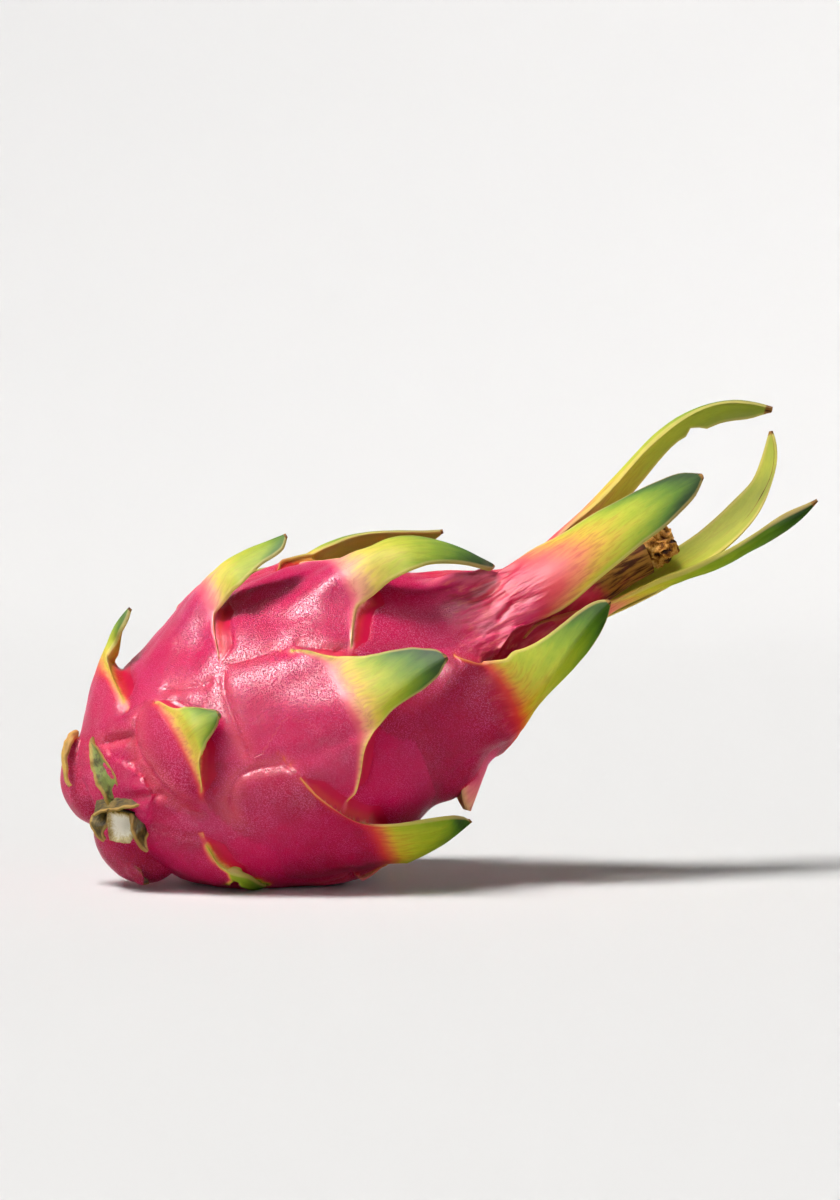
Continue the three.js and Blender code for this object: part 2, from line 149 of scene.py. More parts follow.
def waves(points, size, seed, count=9):
    """Smooth noise between about -1 and 1 at points in millimetres, with lumps of about that size."""
    random = np.random.default_rng(seed)
    ways = unit(random.normal(size=(count, 3))) * (2 * np.pi / size) * random.uniform(0.6, 1.5, (count, 1))
    phases = random.uniform(0, 2 * np.pi, count)
    return np.sin(points @ ways.T + phases).sum(-1) / math.sqrt(count) / 1.2


def bezier(path, t):
    p = np.array(path, float)
    t = np.asarray(t, float)[..., None]
    return (1 - t) ** 3 * p[0] + 3 * t * (1 - t) ** 2 * p[1] + 3 * t**2 * (1 - t) * p[2] + t**3 * p[3]


def bezier_way(path, t):
    first, second, third = np.diff(np.array(path, float), axis=0)
    return unit((1 - t) ** 2 * first + 2 * t * (1 - t) * second + t**2 * third)


def bezier_length(path):
    return np.linalg.norm(np.diff(bezier(path, np.linspace(0, 1, 60)), axis=0), axis=1).sum()


# ---- The scales ----

USUAL = dict(
    edge=EDGE, wide=RIDGE_WIDTH, cup=CUP, keel=2.0, pull=PULL, lift=0.0, lead=0.0, yaw=0.0, turning=0.5,
    twist=(0.0, 0.0), wave=0.2, nicks=(), edges=(None, None), width=None,
    hue=(0.38, 0.92), fringe=5.0, blush=8.0, lip=(0.22, 0.4), tone=0.0, halo=0.4, burnt=1.0,
)


def bract(name, at, flank, back, tongue, ridge, tip=None, pitch=0, taper=2.0, **more):
    """One scale, its place and main sizes near those in the CAD source. Pairs are (upper, lower side). edges
    gives (distance ahead, half-width) along the front edge, width (share of the length, half-width) of the
    tongue, lead, lift and yaw the degrees by which it leaves the skin and arrives. hue lists places in the
    colour ramp over its length in millimetres (or at its root and tip), lip the hue at the flanks' edges
    and where it starts, blush how far the colour reaches back over the shield, tone a deep (-1) or light
    (1) pink, its deep values on B6 and B7 painted shade, halo how pale the pink turns before it yellows."""
    scale = dict(USUAL, name=name, at=at, ridge=ridge, tip=tip, pitch=pitch, taper=pair(taper))
    scale.update(more)
    scale["edge"], scale["wide"] = pair(scale["edge"]), pair(scale["wide"])
    tables = []
    for given, wide, far, narrow in zip(scale["edges"], pair(flank), pair(back), pair(tongue)):
        if given:
            ahead = np.linspace(given[0][0], given[-1][0], 60)
            half = curve_through(given, ahead)
        else:
            run = np.linspace(1, 0, 60)
            ahead = -far * run
            half = mix(narrow, wide, run**FLARE)
        tables.append((ahead, np.maximum.accumulate(half[::-1])[::-1]))
    scale["tables"] = tables
    scale["back"] = tuple(float(-ahead[0]) for ahead, _ in tables)
    scale["flank"] = tuple(float(half[0]) for _, half in tables)
    scale["tongue"] = tuple(float(half[-1]) for _, half in tables)
    return scale


SCALES = [
    bract("B1", (17, 92), 16, 8, 4, 4, (27.4, 47.2, 82), 20, 1.9, tone=-0.1, halo=0.2, hue=((-4, 0),
          (-2.5, 0.2), (-1, 0.4), (1, 0.5), (7, 0.58), (13, 0.82)), lip=(0.42, 0.8), twist=(-6, -24),
          turning=1.2, edges=(None, ((-1.8, 20), (-1.4, 12), (-0.8, 6), (0, 3.6))), width=(((0, 3.6),
          (0.3, 2.4), (0.7, 1.4), (1, 0.2)), ((0, 3.6), (0.5, 3.5), (0.75, 2.6), (1, 0.2)))),
    bract("B8", (26, 20), 20, 4, 6, 3, (34.5, 41.5, 21.5), 10, tone=-0.2, blush=4, burnt=0.6,
          lip=(0.36, 0.7), halo=0.3, cup=0.25, turning=4.0, lead=10, hue=((-4.8, 0), (-4, 0.12), (-3, 0.28),
          (-1.5, 0.4), (1, 0.5), (4, 0.58), (8, 0.74), (11, 0.9)), edges=(((-4.2, 13), (-3.6, 11.6),
          (-2.4, 9.4), (-1.2, 7.4), (0, 6.3)), ((-3.8, 13.2), (-3.2, 11.6), (-2.4, 9.2), (-1.2, 6.4),
          (0, 5))), width=(((0, 7), (0.3, 5.6), (0.54, 4.4), (0.77, 2.5), (0.96, 1.1), (1, 0.4)), ((0, 5.6),
          (0.27, 4.5), (0.57, 3.4), (0.8, 2), (0.92, 0.8), (1, 0.4)))),
    bract("B9", (20, -49), 14, 2, 3.2, 1.0, (27.5, 35.4, -67), 8, lift=-12, hue=(0.6, 0.9), tone=-0.25,
          blush=1.0, lip=(0.3, 0.7), wave=0.04, edge=1.1, fringe=1.0, edges=(((-2.6, 12), (-2.4, 9),
          (-1.9, 5), (0, 1.6)), ((-1.8, 8), (-1.6, 6), (-1.2, 4), (0, 1.6))), width=(((0, 1.6), (0.3, 1.7),
          (0.7, 1.4), (1, 0.3)),) * 2),
    bract("K1", (17, 158), 16, 8, 6, 4, (32, 44, 160), 5, 1.8),
    bract("K2", (22, -128), 15, 7, 5, 3, (34, 38, -126), -5, 1.8, hue=(0.4, 0.85)),
    bract("S1", (6, 38), 9, 4, 2.5, 1, tone=-0.1, blush=2, hue=(0.1, 0.1), lip=(0.02, 0.2), edge=1.2),
    bract("S2", (11.5, 6), 9, 4, 3, 1.5, tone=0.3, blush=2, hue=(0.04, 0.1), lip=(0.02, 0.2), edge=1.2),
    bract("B2", (46, 68), 21, 9, 6.5, 5.6, (70.5, 51.5, 66), 5, edge=(2.6, 0.7), wide=(9, 5), tone=0.1,
          halo=0.9, blush=5, hue=((-4, 0), (-1, 0.15), (2, 0.3), (6, 0.42), (12, 0.52), (20, 0.62),
          (24.5, 0.85)), edges=(None, ((-5.4, 18), (-4.8, 16), (-3.8, 12.8), (-3, 9.2), (-1.8, 6.4),
          (-0.6, 4.8), (0, 4.6))), width=(((0, 6.6), (0.3, 6.4), (0.6, 5), (0.85, 2.8), (1, 0.4)),
          ((0, 4.6), (0.06, 4.9), (0.2, 5.9), (0.35, 7.1), (0.46, 6.5), (0.67, 4.6), (0.9, 3.4),
          (1, 0.4)))),
    # B6's deep tone is painted shade
    bract("B6", (57, -57), 27, 11, (8.5, 10), 3, (82, 43.4, -74), -15, blush=5, tone=-0.4, lift=10, lead=2,
          hue=((-5, 0), (-2, 0.1), (1, 0.24), (4, 0.42), (9, 0.54), (19, 0.68), (26, 0.92)),
          lip=(0.24, 0.5), halo=0.1, edges=(((-12, 33), (-10.6, 27.8), (-8.2, 22.6), (-4.6, 16.2),
          (-2.6, 13.6), (0, 11)), None), width=(((0, 11), (0.21, 10.6), (0.37, 10.2), (0.48, 9.9),
          (0.67, 8.2), (0.93, 4), (1, 0.4)), ((0, 10), (0.25, 9.5), (0.5, 7.5), (0.75, 4.6), (0.93, 2),
          (1, 0.4)))),
    bract("B5", (68, 0), 24, 10, 10, 4, (91, 46, 4), 5, blush=8, tone=0.05, keel=1.3, lead=4, hue=((-7, 0),
          (-5, 0.12), (-2.5, 0.26), (0, 0.38), (3, 0.47), (8, 0.56), (12, 0.66), (16, 0.78), (20, 0.9),
          (24, 1)), lip=(0.46, 0.5), halo=0.7, edges=(((-10, 22), (-8.2, 20), (-6.2, 18.2), (-4.4, 16.4),
          (-2.4, 14.8), (0, 13.2)), ((-14.2, 20), (-12, 17.8), (-8.8, 13.4), (-5.6, 8.2), (-3.6, 6.2),
          (-1.4, 4.8), (0, 4.2))), width=(((0, 13.4), (0.17, 11.7), (0.37, 10.3), (0.54, 8.9), (0.65, 7.6),
          (0.76, 6.2), (0.84, 4.6), (0.94, 2.7), (1, 0.4)), ((0, 4.4), (0.17, 3.3), (0.29, 3.1),
          (0.45, 3.3), (0.61, 3.5), (0.83, 2.8), (0.92, 1.5), (1, 0.4)))),
    bract("K3", (50, 132), 22, 11, 8, 5, (76, 50, 136), 5, hue=(0.36, 0.9)),
    bract("K4", (62, -166), 23, 12, 10, 5, (92, 44, -166), 0, 1.8, hue=(0.4, 0.94)),
    bract("H1", (57, -106), 24, 9, 8, 1, (70, 38, -128), 5, edge=4, hue=(0.2, 0.86), lip=(0.03, 0.1),
          blush=4),
    bract("B4", (81, 52), 20, 11, 7, 7.6, (116.2, 20.5, 49), -60, 2.2, pull=(0.4, 0.44), blush=6, tone=0.1,
          edge=(2.4, 0.6), wide=(9, 5), hue=((-5, 0), (-3.5, 0.14), (-1.5, 0.24), (1, 0.34), (5, 0.43),
          (12, 0.49), (17, 0.54), (24, 0.64), (31, 0.76), (37, 0.9), (42, 1)), halo=1.0, lip=(0.3, 0.6),
          edges=(None, ((-10, 18.5), (-8.4, 15.6), (-6.8, 12.6), (-5.4, 10), (-4, 7.8), (-3, 6.6),
          (0, 5.2))), width=(((0, 8), (0.3, 6.8), (0.6, 5.4), (0.85, 3), (1, 0.4)), ((0, 5.2), (0.14, 5.6),
          (0.26, 6.2), (0.37, 6.2), (0.49, 5.2), (0.65, 4.3), (0.85, 2.9), (0.96, 1.9), (1, 0.4)))),
    bract("B3", (77, 118), 19, 11, 8, 5, (112, 33, 124), -14, hue=(0.5, 0.86), halo=0.0),
    bract("K5", (88, 172), 19, 11, 8, 5, (120, 26, 170), -20),
    # B7's deep tone is painted shade
    bract("B7", (101, -42), 21, 8, 9, 3, (137.6, 24, -12.5), 0, edge=(5, 8), lead=20, yaw=14, turning=0.6,
          keel=1.25, cup=0.7, tone=-0.7, lip=(0.24, 0.3), halo=0.0, blush=5, hue=((-4, 0), (-1, 0.08),
          (2, 0.2), (5, 0.33), (8, 0.44), (14, 0.52), (24, 0.6), (31, 0.74), (38, 0.92)),
          edges=(((-6, 18.2), (-4.8, 16.4), (-3.4, 14.8), (-1.6, 12.8), (0, 11.6)), ((-7, 25), (-4, 20),
          (-2, 15.5), (0, 12))), width=(((0, 12.8), (0.14, 11.6), (0.33, 9.8), (0.42, 8.2), (0.59, 5.7),
          (0.74, 4), (0.82, 3.3), (0.94, 1.9), (1, 0.3)), ((0, 15), (0.14, 13), (0.21, 8.4), (0.4, 6.9),
          (0.58, 7.1), (0.7, 7.7), (0.81, 6.9), (0.9, 5), (0.96, 2.6), (1, 0.4)))),
    bract("K6", (100, -138), 17, 9, 8, 5, (130, 27, -140), 5, 2.2),
    bract("C2", (116, 20), 12, 9, 6, 3, (174.6, 21.8, 36.5), -7, pull=(0.4, 0.36), edge=3.2, lead=-2,
          yaw=4.3, fringe=14, hue=((-6, 0), (2, 0.05), (8, 0.12), (14, 0.2), (20, 0.28), (26, 0.38),
          (33, 0.49), (40, 0.58), (46, 0.68), (52, 0.82), (57, 0.95), (61, 1)), blush=4, tone=0.35,
          lip=(0.05, 0.2), halo=0.25, edges=(None, ((-11, 11.4), (-9, 9), (-7, 7.6), (-4.6, 6.2),
          (-2.4, 5.6), (0, 5.4))), width=(((0, 9), (0.16, 9.5), (0.3, 8.7), (0.51, 8.5), (0.62, 7.7),
          (0.74, 7), (0.84, 6), (0.94, 4.3), (1, 0.5)), ((0, 7.4), (0.14, 8.2), (0.21, 7.9), (0.34, 6.8),
          (0.58, 6.1), (0.72, 6), (0.83, 5), (0.93, 3.3), (1, 0.5)))),
    bract("C1", (124, 95), 10, 9, 5.5, -1.6, (203.7, 19, 100), -42, pull=(0.42, 0.42), cup=0.9, lift=5.4,
          yaw=-2.5, lead=-8.3, twist=(25, 35), hue=((0, 0.1), (12, 0.16), (20, 0.28), (29, 0.44),
          (45, 0.54), (62, 0.66), (80, 0.8)), burnt=2.4, nicks=((0.7, -1, 0.35, 0.012),
          (0.735, -1, 0.25, 0.01)), width=(((0, 5.5), (0.36, 4.6), (0.61, 3.6), (0.75, 4.1), (0.83, 3.5),
          (0.94, 2.6), (1, 0.6)), ((0, 5.5), (0.2, 4.2), (0.36, 3.2), (0.5, 2.6), (0.85, 2.4), (0.95, 1.6),
          (1, 0.4)))),
    bract("C4", (124, -62), 10, 8, 4.5, -1.2, (201.5, 11, -46), 0, pull=(0.46, 0.42), burnt=2.0, lead=13,
          yaw=20, hue=((-8, 0), (4, 0.1), (14, 0.24), (22, 0.42), (34, 0.58), (52, 0.68), (66, 0.82),
          (76, 1)), edges=(((-12, 10.6), (-7.8, 10.6), (-5.6, 10.4), (-3.2, 9.8), (0, 8.6)), None),
          width=(((0, 8.6), (0.08, 6), (0.18, 3.2), (0.24, 2.3), (0.36, 1.7), (0.46, 1.1), (0.6, 1.6),
          (0.75, 2.2), (0.89, 2.2), (1, 0.3)), ((0, 4.5), (0.1, 2.4), (0.16, 1.6), (0.23, 2.6), (0.46, 4),
          (0.55, 5.5), (0.69, 5), (0.85, 5.6), (0.94, 3.5), (1, 0.3)))),
    bract("C5", (122, 165), 11, 9, 6, 0, (158, 14, 165), 0, 2.6),
]

# Thick lobes round the stem and low on the right, and the crown's bract that curls up. path holds points
# (along, front, over), facing the ways of the outer face at both ends, half and thick (share of the length,
# millimetres), seam the place across of a dry line.
LOBES = [
    dict(name="B11", path=[(1, 5, 0), (-12, 5, 2), (-10, 3, 18), (0.5, 3, 23.5)], facing=[(-0.8, 0.6, -0.3),
          (-0.8, 0.3, 0.5)], half=[(0, 6), (0.3, 9), (0.7, 8), (1, 2.5)], thick=[(0, 9), (0.5, 8), (1, 2)],
          cup=0.5, hue=(0.0, 0.08), tone=-0.35, dry=0.0),
    dict(name="margin", path=[(1.6, 4, 24), (-2, 7, 26), (-7, 8, 19), (-6.6, 8, 12.5)],
          facing=[(-0.3, 0.8, 0.5), (-0.7, 0.8, 0)], half=[(0, 0.8), (0.25, 1.2), (0.6, 0.9), (1, 0.4)],
          thick=[(0, 1.1), (1, 0.8)], cup=0.5, hue=(0.3, 0.42), dry=0.45, crumple=0.3),
    dict(name="B10", path=[(1, 7, 4), (-9.5, 8, -1), (-4, 10, -20.5), (7.5, 8, -16)],
          facing=[(-0.8, 0.6, 0.2), (-0.5, 0.75, -0.45)], half=[(0, 7), (0.3, 8.5), (0.7, 7.5), (1, 4)],
          thick=[(0, 9), (0.5, 8), (1, 3)], cup=0.5, hue=(0.0, 0.0), tone=-0.6, dry=0.0),
    dict(name="B10 point", path=[(-3.4, 8, -11), (-3, 8.6, -14.5), (-2.8, 9.8, -17.8), (0.6, 9.4, -18.6)],
          facing=[(-0.8, 0.5, -0.4), (-0.3, 0.6, -0.8)], half=[(0, 2), (0.5, 2.4), (0.8, 1.8), (1, 0.5)],
          thick=[(0, 4), (0.7, 2.6), (1, 1)], cup=0.5, hue=(0.0, 0.0), tone=-0.4),
    dict(name="C3", path=[(126, -6, -9), (165, -3, -12), (196.5, -12, -8.5), (203.5, -15, 12)],
          facing=[(0, -0.57, -0.82), (0.7, -0.7, -0.1)], half=[(0, 6), (0.4, 4.6), (0.6, 4.2), (0.75, 2.9),
          (0.87, 2.3), (0.95, 1.4), (1, 0.3)], thick=[(0, 2.6), (0.5, 2), (1, 1)], cup=0.45,
          hue=(0.46, 0.6), tone=0.0, seam=-0.45),
    dict(name="B13", path=[(101, 3.9, -28), (93, 4.4, -31.5), (88, 5, -35.5), (83.5, 5.6, -40)],
          facing=[(0.4, 0, -0.9), (0.7, 0, -0.7)], half=[(0, 12), (0.5, 8), (0.85, 4), (1, 1.2)],
          thick=[(0, 7), (0.6, 4), (1, 1.2)], cup=0.9, hue=(0.02, 0.28), tone=0.8, halo=1.0, dry=0.0),
]

# The stub's rings are (share of its length, share of its outline), along its side and over its cut face
STUB = dict(
    start=(5, 8, 1), end=(0.8, 19.4, -1.2), corners=[(13, 5.8), (100, 5.8), (203, 5.2), (269, 5)],
    side=[(0, 0.72), (0.3, 0.78), (0.5, 0.8), (0.65, 0.8), (0.8, 0.81), (0.88, 0.88), (0.93, 0.95),
          (0.97, 0.99)],
    face=[(1.0, 1.0), (1.01, 0.97), (0.985, 0.9), (0.95, 0.8), (0.93, 0.6), (0.925, 0.4), (0.93, 0.2)],
)

# Withered flaps of skin over the stub, as lobes
WITHERED = [
    dict(name="strip", path=[(2.6, 17, 4.9), (2.7, 18.5, 9.2), (2.7, 17.5, 14.2), (4.0, 12, 21.6)],
          facing=[(-0.1, 0.9, 0.3), (-0.6, 0.6, 0.1)], half=[(0, 2.4), (0.35, 2.6), (0.6, 2.3), (0.85, 1.4),
          (1, 0.3)], thick=[(0, 1.3), (1, 0.9)], cup=-0.35, tone=1.0),
    dict(name="roof", path=[(-2.9, 14, 5.9), (2, 18, 6.7), (5.3, 22.5, 3.5), (9.2, 24, 2.2)],
          facing=[(-0.1, 0.6, 0.8), (0.1, 0.5, 0.9)], half=[(0, 3), (0.5, 2.8), (0.8, 1.9), (1, 0.4)],
          thick=[(0, 1.4), (1, 0.9)], cup=0.2),
    dict(name="flap", path=[(8.6, 18.5, 1.6), (7, 21, -1), (3.4, 22, -3.4), (4, 21, -9.8)],
          facing=[(0.5, 0.8, 0.4), (0.6, 0.8, -0.1)], half=[(0, 3.2), (0.4, 3), (0.75, 1.9), (1, 0.3)],
          thick=[(0, 1.4), (1, 0.9)], cup=0.35),
    dict(name="bit", path=[(-1.2, 14, 4), (-4.5, 15, 2.3), (-5.9, 14, 0), (-4.6, 13.5, -3)],
          facing=[(-0.5, 0.8, 0.3), (-0.5, 0.8, 0)], half=[(0, 2.2), (0.5, 2.2), (1, 0.5)], thick=[(0, 1.2),
          (1, 0.9)], cup=0.2),
]

# The flower's end as (along, radius), how much it crumples and how deep its mouth is dished
FLOWER = dict(outline=[(151.6, 3.4), (154.5, 4.1), (157, 5), (160, 5.1), (162.5, 4.2), (163.4, 2.6)],
              crumple=0.28, dish=2.2)

# Grooves at the stem and folds of the neck: points (along, turn), height, width
FOLDS = [
    ([(4.9, 46), (12.3, 33.5), (9.5, 16.7)], -1.1, 1.3),
    ([(9.5, 16.7), (12.6, 2.1), (3.3, 1.3)], -1.1, 1.3),
    ([(10.8, -1.3), (12.7, -0.5), (18.7, -12.8), (20.7, -16.6)], -1.1, 1.2),
    ([(105.1, 30.5), (107.4, 29.4), (111, 29.6), (114.7, 32.9), (118.4, 38.8), (121.1, 43.2)], -0.9, 0.8),
    ([(109, 7.8), (110.6, 9.9), (114.6, 14.2), (118.6, 17.9), (122.7, 20.4), (127.9, 21.2), (131.4, 22.2)],
     -0.8, 0.7),
    ([(115.7, 13.6), (121.6, 14), (126.4, 16.5), (130, 20.6)], -0.6, 0.6),
    ([(113, 24), (119, 26), (125, 30)], -0.3, 0.6),
    ([(103.5, 4), (106.5, 9), (110.5, 13), (114.5, 17)], 0.3, 2.0),
    ([(108, 20), (112, 23), (117, 27), (122, 31)], -0.4, 0.7),
    ([(95.4, 62), (102.8, 55), (109.3, 47.5), (116.1, 44.5)], 1.6, 1.6),
]

# Creases between the shields, as points (along, turn); the rest run back from the flanks' ends
CREASES = [
    [(58.5, 34.0), (53.6, 36.2), (48.2, 36.9), (43.8, 38.7), (41.7, 41)],
    [(58.9, 34.7), (61.9, 31.4), (65, 28.2), (68, 25.3), (71.9, 24.7)],
    [(41.1, 39.1), (38.8, 32.7), (37.6, 24.2), (37, 15.4), (36.4, 6.1), (35.8, -0.4)],
    [(45.6, -8.9), (43.4, -4.6), (37.9, -2.3), (32.9, -1.5), (29.6, -4.8), (27.4, -9.8), (26.5, -17),
     (26.6, -25.8)],
    [(37.5, 36), (33.1, 38.2), (28.7, 42.5), (24.5, 48.4)],
    [(13, 33.6), (10, 37.2), (7, 41.3), (4, 48.2), (1, 55.7)],
    [(20, 48.5), (15.3, 38.3), (12.9, 30), (12.6, 19.6), (13.7, 5.4), (16.1, -3.5), (20.3, -10.6)],
]

# Swellings as place (along, turn), half (length, width) and height
BULGES = [((91, -84), (13, 15), 5.5)]

# Scales out of sight, with a crease back from each end of the flank
FAR_SIDE = ("K1", "K2", "K3", "K4", "K5", "K6", "H1", "B3")


# ---- The fruit's own frame ----

AXIS = np.array([math.cos(TILT), 0, math.sin(TILT)])
OVER = np.array([-math.sin(TILT), 0, math.cos(TILT)])
FRONT = np.array([0.0, -1.0, 0.0])


def bend(along):
    return STEM_BEND["height"] * clamp01(1 - along / STEM_BEND["length"]) ** 2


def axis_point(along):
    along = np.asarray(along, float)[..., None]
    return STEM_END + along * AXIS + bend(along) * OVER


def outward(turn):
    turn = np.asarray(turn, float)[..., None]
    return np.cos(turn) * FRONT + np.sin(turn) * OVER


def place(along, out, turn):
    return axis_point(along) + outward(turn) * np.asarray(out, float)[..., None]


def spots(points):
    """Points given as (along, front, over) from the stem end, on the straight axis."""
    p = np.array(points, float)
    return STEM_END + p[..., :1] * AXIS + p[..., 1:2] * FRONT + p[..., 2:3] * OVER


def found(points):
    """(along, out, turn) of points."""
    rel = points - STEM_END
    along = rel @ AXIS
    over = rel @ OVER - bend(along)
    front = rel @ FRONT
    return along, np.hypot(over, front), np.arctan2(over, front)


def body_radius(along):
    return curve_through(BODY, along)


def wrapped(turn):
    return np.arctan2(np.sin(turn), np.cos(turn))


# ---- Scales: the raised shields ----

def by_side(sides, side):
    """The upper or lower one of a pair, by the sign of side."""
    return np.where(side >= 0, sides[0], sides[1])


def swept_back(scale, side):
    """How far the front edge lies behind the scale's own place, at that distance sideways."""
    backs = []
    for ahead, half in scale["tables"]:
        back = np.interp(np.abs(side), half[::-1], -ahead[::-1])
        last = min(1.5, (ahead[3] - ahead[0]) / max(half[0] - half[3], 0.1))
        backs.append(back + np.maximum(np.abs(side) - half[0], 0) * last)
    return by_side(backs, side)


def shield_height(scale, ahead, side, overhang=0.0):
    """Height over the bare body, how far behind the front edge, and share of the shield left sideways."""
    behind = -ahead - swept_back(scale, side)
    full = mix(scale["edge"][1], scale["edge"][0], smooth(side / 12 + 0.5))
    full = full + scale["ridge"] * np.exp(-((side / by_side(scale["wide"], side)) ** 2))
    sideways = 1 - smooth((np.abs(side) / by_side(scale["flank"], side) - 0.8) / 0.4)
    under_skin = behind - overhang
    front = 1 - smooth(-under_skin / STEP)
    rear = clamp01(1 - np.maximum(under_skin, 0) / SHIELD) ** 1.7
    return full * sideways * front * rear, behind, sideways


def tongue_hue(scale, length, reach):
    """Place in the colour ramp at that length along the tongue, in millimetres."""
    if isinstance(scale["hue"][0], tuple):
        return np.interp(length, *np.array(scale["hue"]).T)
    return mix(*scale["hue"], clamp01(length / reach) ** 0.9)


def shield_hue(scale, behind, side, ahead):
    """Place in the colour ramp on the shield, `behind` the front edge."""
    reach = clamp01(np.abs(side) / by_side(scale["flank"], side))
    at_lip, start = scale["lip"]
    width = mix(scale["blush"], 0.9, smooth(reach * 1.4))
    at_edge = mix(tongue_hue(scale, 0.0, 1.0), at_lip, smooth((reach - start) / (1.0 - start)))
    hue = at_edge * clamp01(1 - behind / width) ** 1.35
    if isinstance(scale["hue"][0], tuple):
        hue = np.maximum(hue, tongue_hue(scale, np.minimum(ahead, 0), 1.0) * (reach < 1))
    return hue


def relief(along, turn):
    """Height of the skin over the bare body, and the marks that the material reads."""
    radius = body_radius(along)
    power = 5.0
    total = np.zeros_like(along)
    weight = np.full_like(along, 1e-9)
    hue, tone, halo, under = (np.zeros_like(along) for _ in range(4))
    front = np.full_like(along, FAR)
    for scale in SCALES:
        side = radius * wrapped(turn - math.radians(scale["at"][1]))
        ahead = along - scale["at"][0]
        flank = by_side(scale["flank"], side)
        height, behind, sideways = shield_height(scale, ahead, side, OVERHANG)
        height = np.maximum(np.where(np.abs(side) > 1.3 * flank, 0, height), 0)
        total += height**power
        share = height**3
        weight += share
        hue += share * shield_hue(scale, np.maximum(behind, 0), side, ahead) * (behind > -0.6)
        tone += share * scale["tone"]
        halo += share * scale["halo"]
        # Just in front of each shield's edge, under its lip, the skin gets the under mark: painted shade
        lip_shadow = clamp01((-behind - 0.3) / 1.2) * (1 - smooth(-behind / 7)) * sideways
        under = np.maximum(under, lip_shadow * (np.abs(side) < 1.2 * flank))
        gap = np.maximum(-behind, 0) + 1.3 * np.maximum(np.abs(side) - 0.85 * flank, 0)
        front = np.minimum(front, np.where(behind < 0.3, gap, FAR))
    fade = sets_in(along, (BODY[0][0], FADE["stem"])) * smooth((BODY[-1][0] - along) / FADE["neck"])
    height = total ** (1 / power)
    for (at_along, at_turn), (long, wide), high in BULGES:
        side = radius * wrapped(turn - math.radians(at_turn))
        away = ((along - at_along) / long) ** 2 + (side / wide) ** 2
        height = np.maximum(height, high * np.exp(-(away**2)))
    height = height * fade
    front = front + 5 * sets_in(along, NO_TROUGH) + 5 * (1 - sets_in(along, TROUGHS))
    trough = smooth(front / 0.6) * (1 - smooth((front - TROUGH["length"]) / 0.9))
    height -= TROUGH["depth"] * trough * fade
    return height, {"hue": hue / weight, "tone": tone / weight, "halo": halo / weight, "front": front,
                    "under": under * sets_in(along, LIP_SHADOWS)}


# ---- Source meshes: closed, in millimetres, each vertex with its marks ----

MARKS = ("hue", "tone", "halo", "under", "front", "rim", "inner", "dry", "gx", "gy", "gz")


def source(points, triangles, marks):
    """A closed mesh turned the right way out."""
    points, triangles = np.asarray(points, float), np.asarray(triangles, int)
    a, b, c = (points[triangles[:, k]] for k in range(3))
    if np.einsum("ij,ij->i", a, np.cross(b, c)).sum() < 0:
        triangles = triangles[:, ::-1]
    full = {name: np.ravel(marks.get(name, np.zeros(len(points)))) for name in MARKS}
    return {"points": points, "triangles": triangles, "marks": full}


def quads_between(a, b, c, d):
    return np.concatenate([np.stack([a, b, c], -1).reshape(-1, 3), np.stack([a, c, d], -1).reshape(-1, 3)])


def ring_quads(index):
    following = np.roll(index, -1, axis=1)
    return quads_between(index[:-1], following[:-1], following[1:], index[1:])


def barrel(rings, start, end, marks):
    """A closed skin over rings of equal count, each end closed on a middle point."""
    rings = np.asarray(rings, float)
    rows, around = rings.shape[:2]
    index = np.arange(rows * around).reshape(rows, around)
    following = np.roll(index, -1, axis=1)
    first, last = rows * around, rows * around + 1
    caps = [np.stack([np.full(around, first), following[0], index[0]], -1),
            np.stack([np.full(around, last), index[-1], following[-1]], -1)]
    points = np.concatenate([rings.reshape(-1, 3), [start, end]])
    given = {}
    for name, value in marks.items():
        value = np.broadcast_to(value, (rows, around))
        given[name] = np.concatenate([value.ravel(), [value[0].mean(), value[-1].mean()]])
    return source(points, np.concatenate([ring_quads(index), *caps]), given)


def plate(rows, shift=0.0, bulge=0.3):
    """A closed curved sheet with rounded long edges, from rows of (outer points, inner points, marks). A
    row's marks are (on the outer face, on the inner face)."""
    outer, inner = (np.array([row[k] for row in rows]) + shift for k in range(2))
    across = outer.shape[1]

    def rim(edge, near, share):
        away = unit(outer[:, edge] - outer[:, near])
        thickness = np.linalg.norm(outer[:, edge] - inner[:, edge], axis=-1, keepdims=True)
        return mix(outer[:, edge], inner[:, edge], share) + away * bulge * thickness

    right, left = ([rim(-1, -2, 0.3), rim(-1, -2, 0.7)], [rim(0, 1, 0.7), rim(0, 1, 0.3)])
    loop = np.concatenate([outer, np.stack(right, 1), inner[:, ::-1], np.stack(left, 1)], 1)
    count = loop.shape[1]
    index = np.arange(loop.size // 3).reshape(len(rows), count)
    parts = [ring_quads(index)]
    for row, order in ((index[0], 1), (index[-1], -1)):
        top, bottom = row[:across], row[across + 2 : 2 * across + 2][::-1]
        ends = [(across + 1, across, across - 1, across + 2), (0, count - 1, count - 2, 2 * across + 1)]
        closing = [quads_between(top[1:], top[:-1], bottom[:-1], bottom[1:])]
        closing += [quads_between(*row[list(corners)][:, None]) for corners in ends]
        parts += [part[:, ::order] for part in closing]
    given = {}
    for name in rows[0][2]:
        out, own = (np.array([np.broadcast_to(row[2][name][k], across) for row in rows]) for k in range(2))
        rims = [np.stack([mix(out[:, edge], own[:, edge], share) for share in shares], 1)
                for edge, shares in ((-1, (0.3, 0.7)), (0, (0.7, 0.3)))]
        given[name] = np.concatenate([out, rims[0], own[:, ::-1], rims[1]], 1)
    return source(loop.reshape(-1, 3), np.concatenate(parts), given)


def row_marks(side, half, grain, lip, **own):
    """Marks of a sheet's row: side runs over it, half is its half-width and lip the width of its rim."""
    # A sheet's inner face takes a little of the under mark's painted shade
    marks = dict(own, under=(0.0, 0.1), front=FAR, rim=clamp01(1 - (half - np.abs(side)) / lip),
                 inner=(0.0, 1.0), gx=grain, gy=(side, side + 9), gz=(0.0, 3.0))
    return {name: pair(value) for name, value in marks.items()}


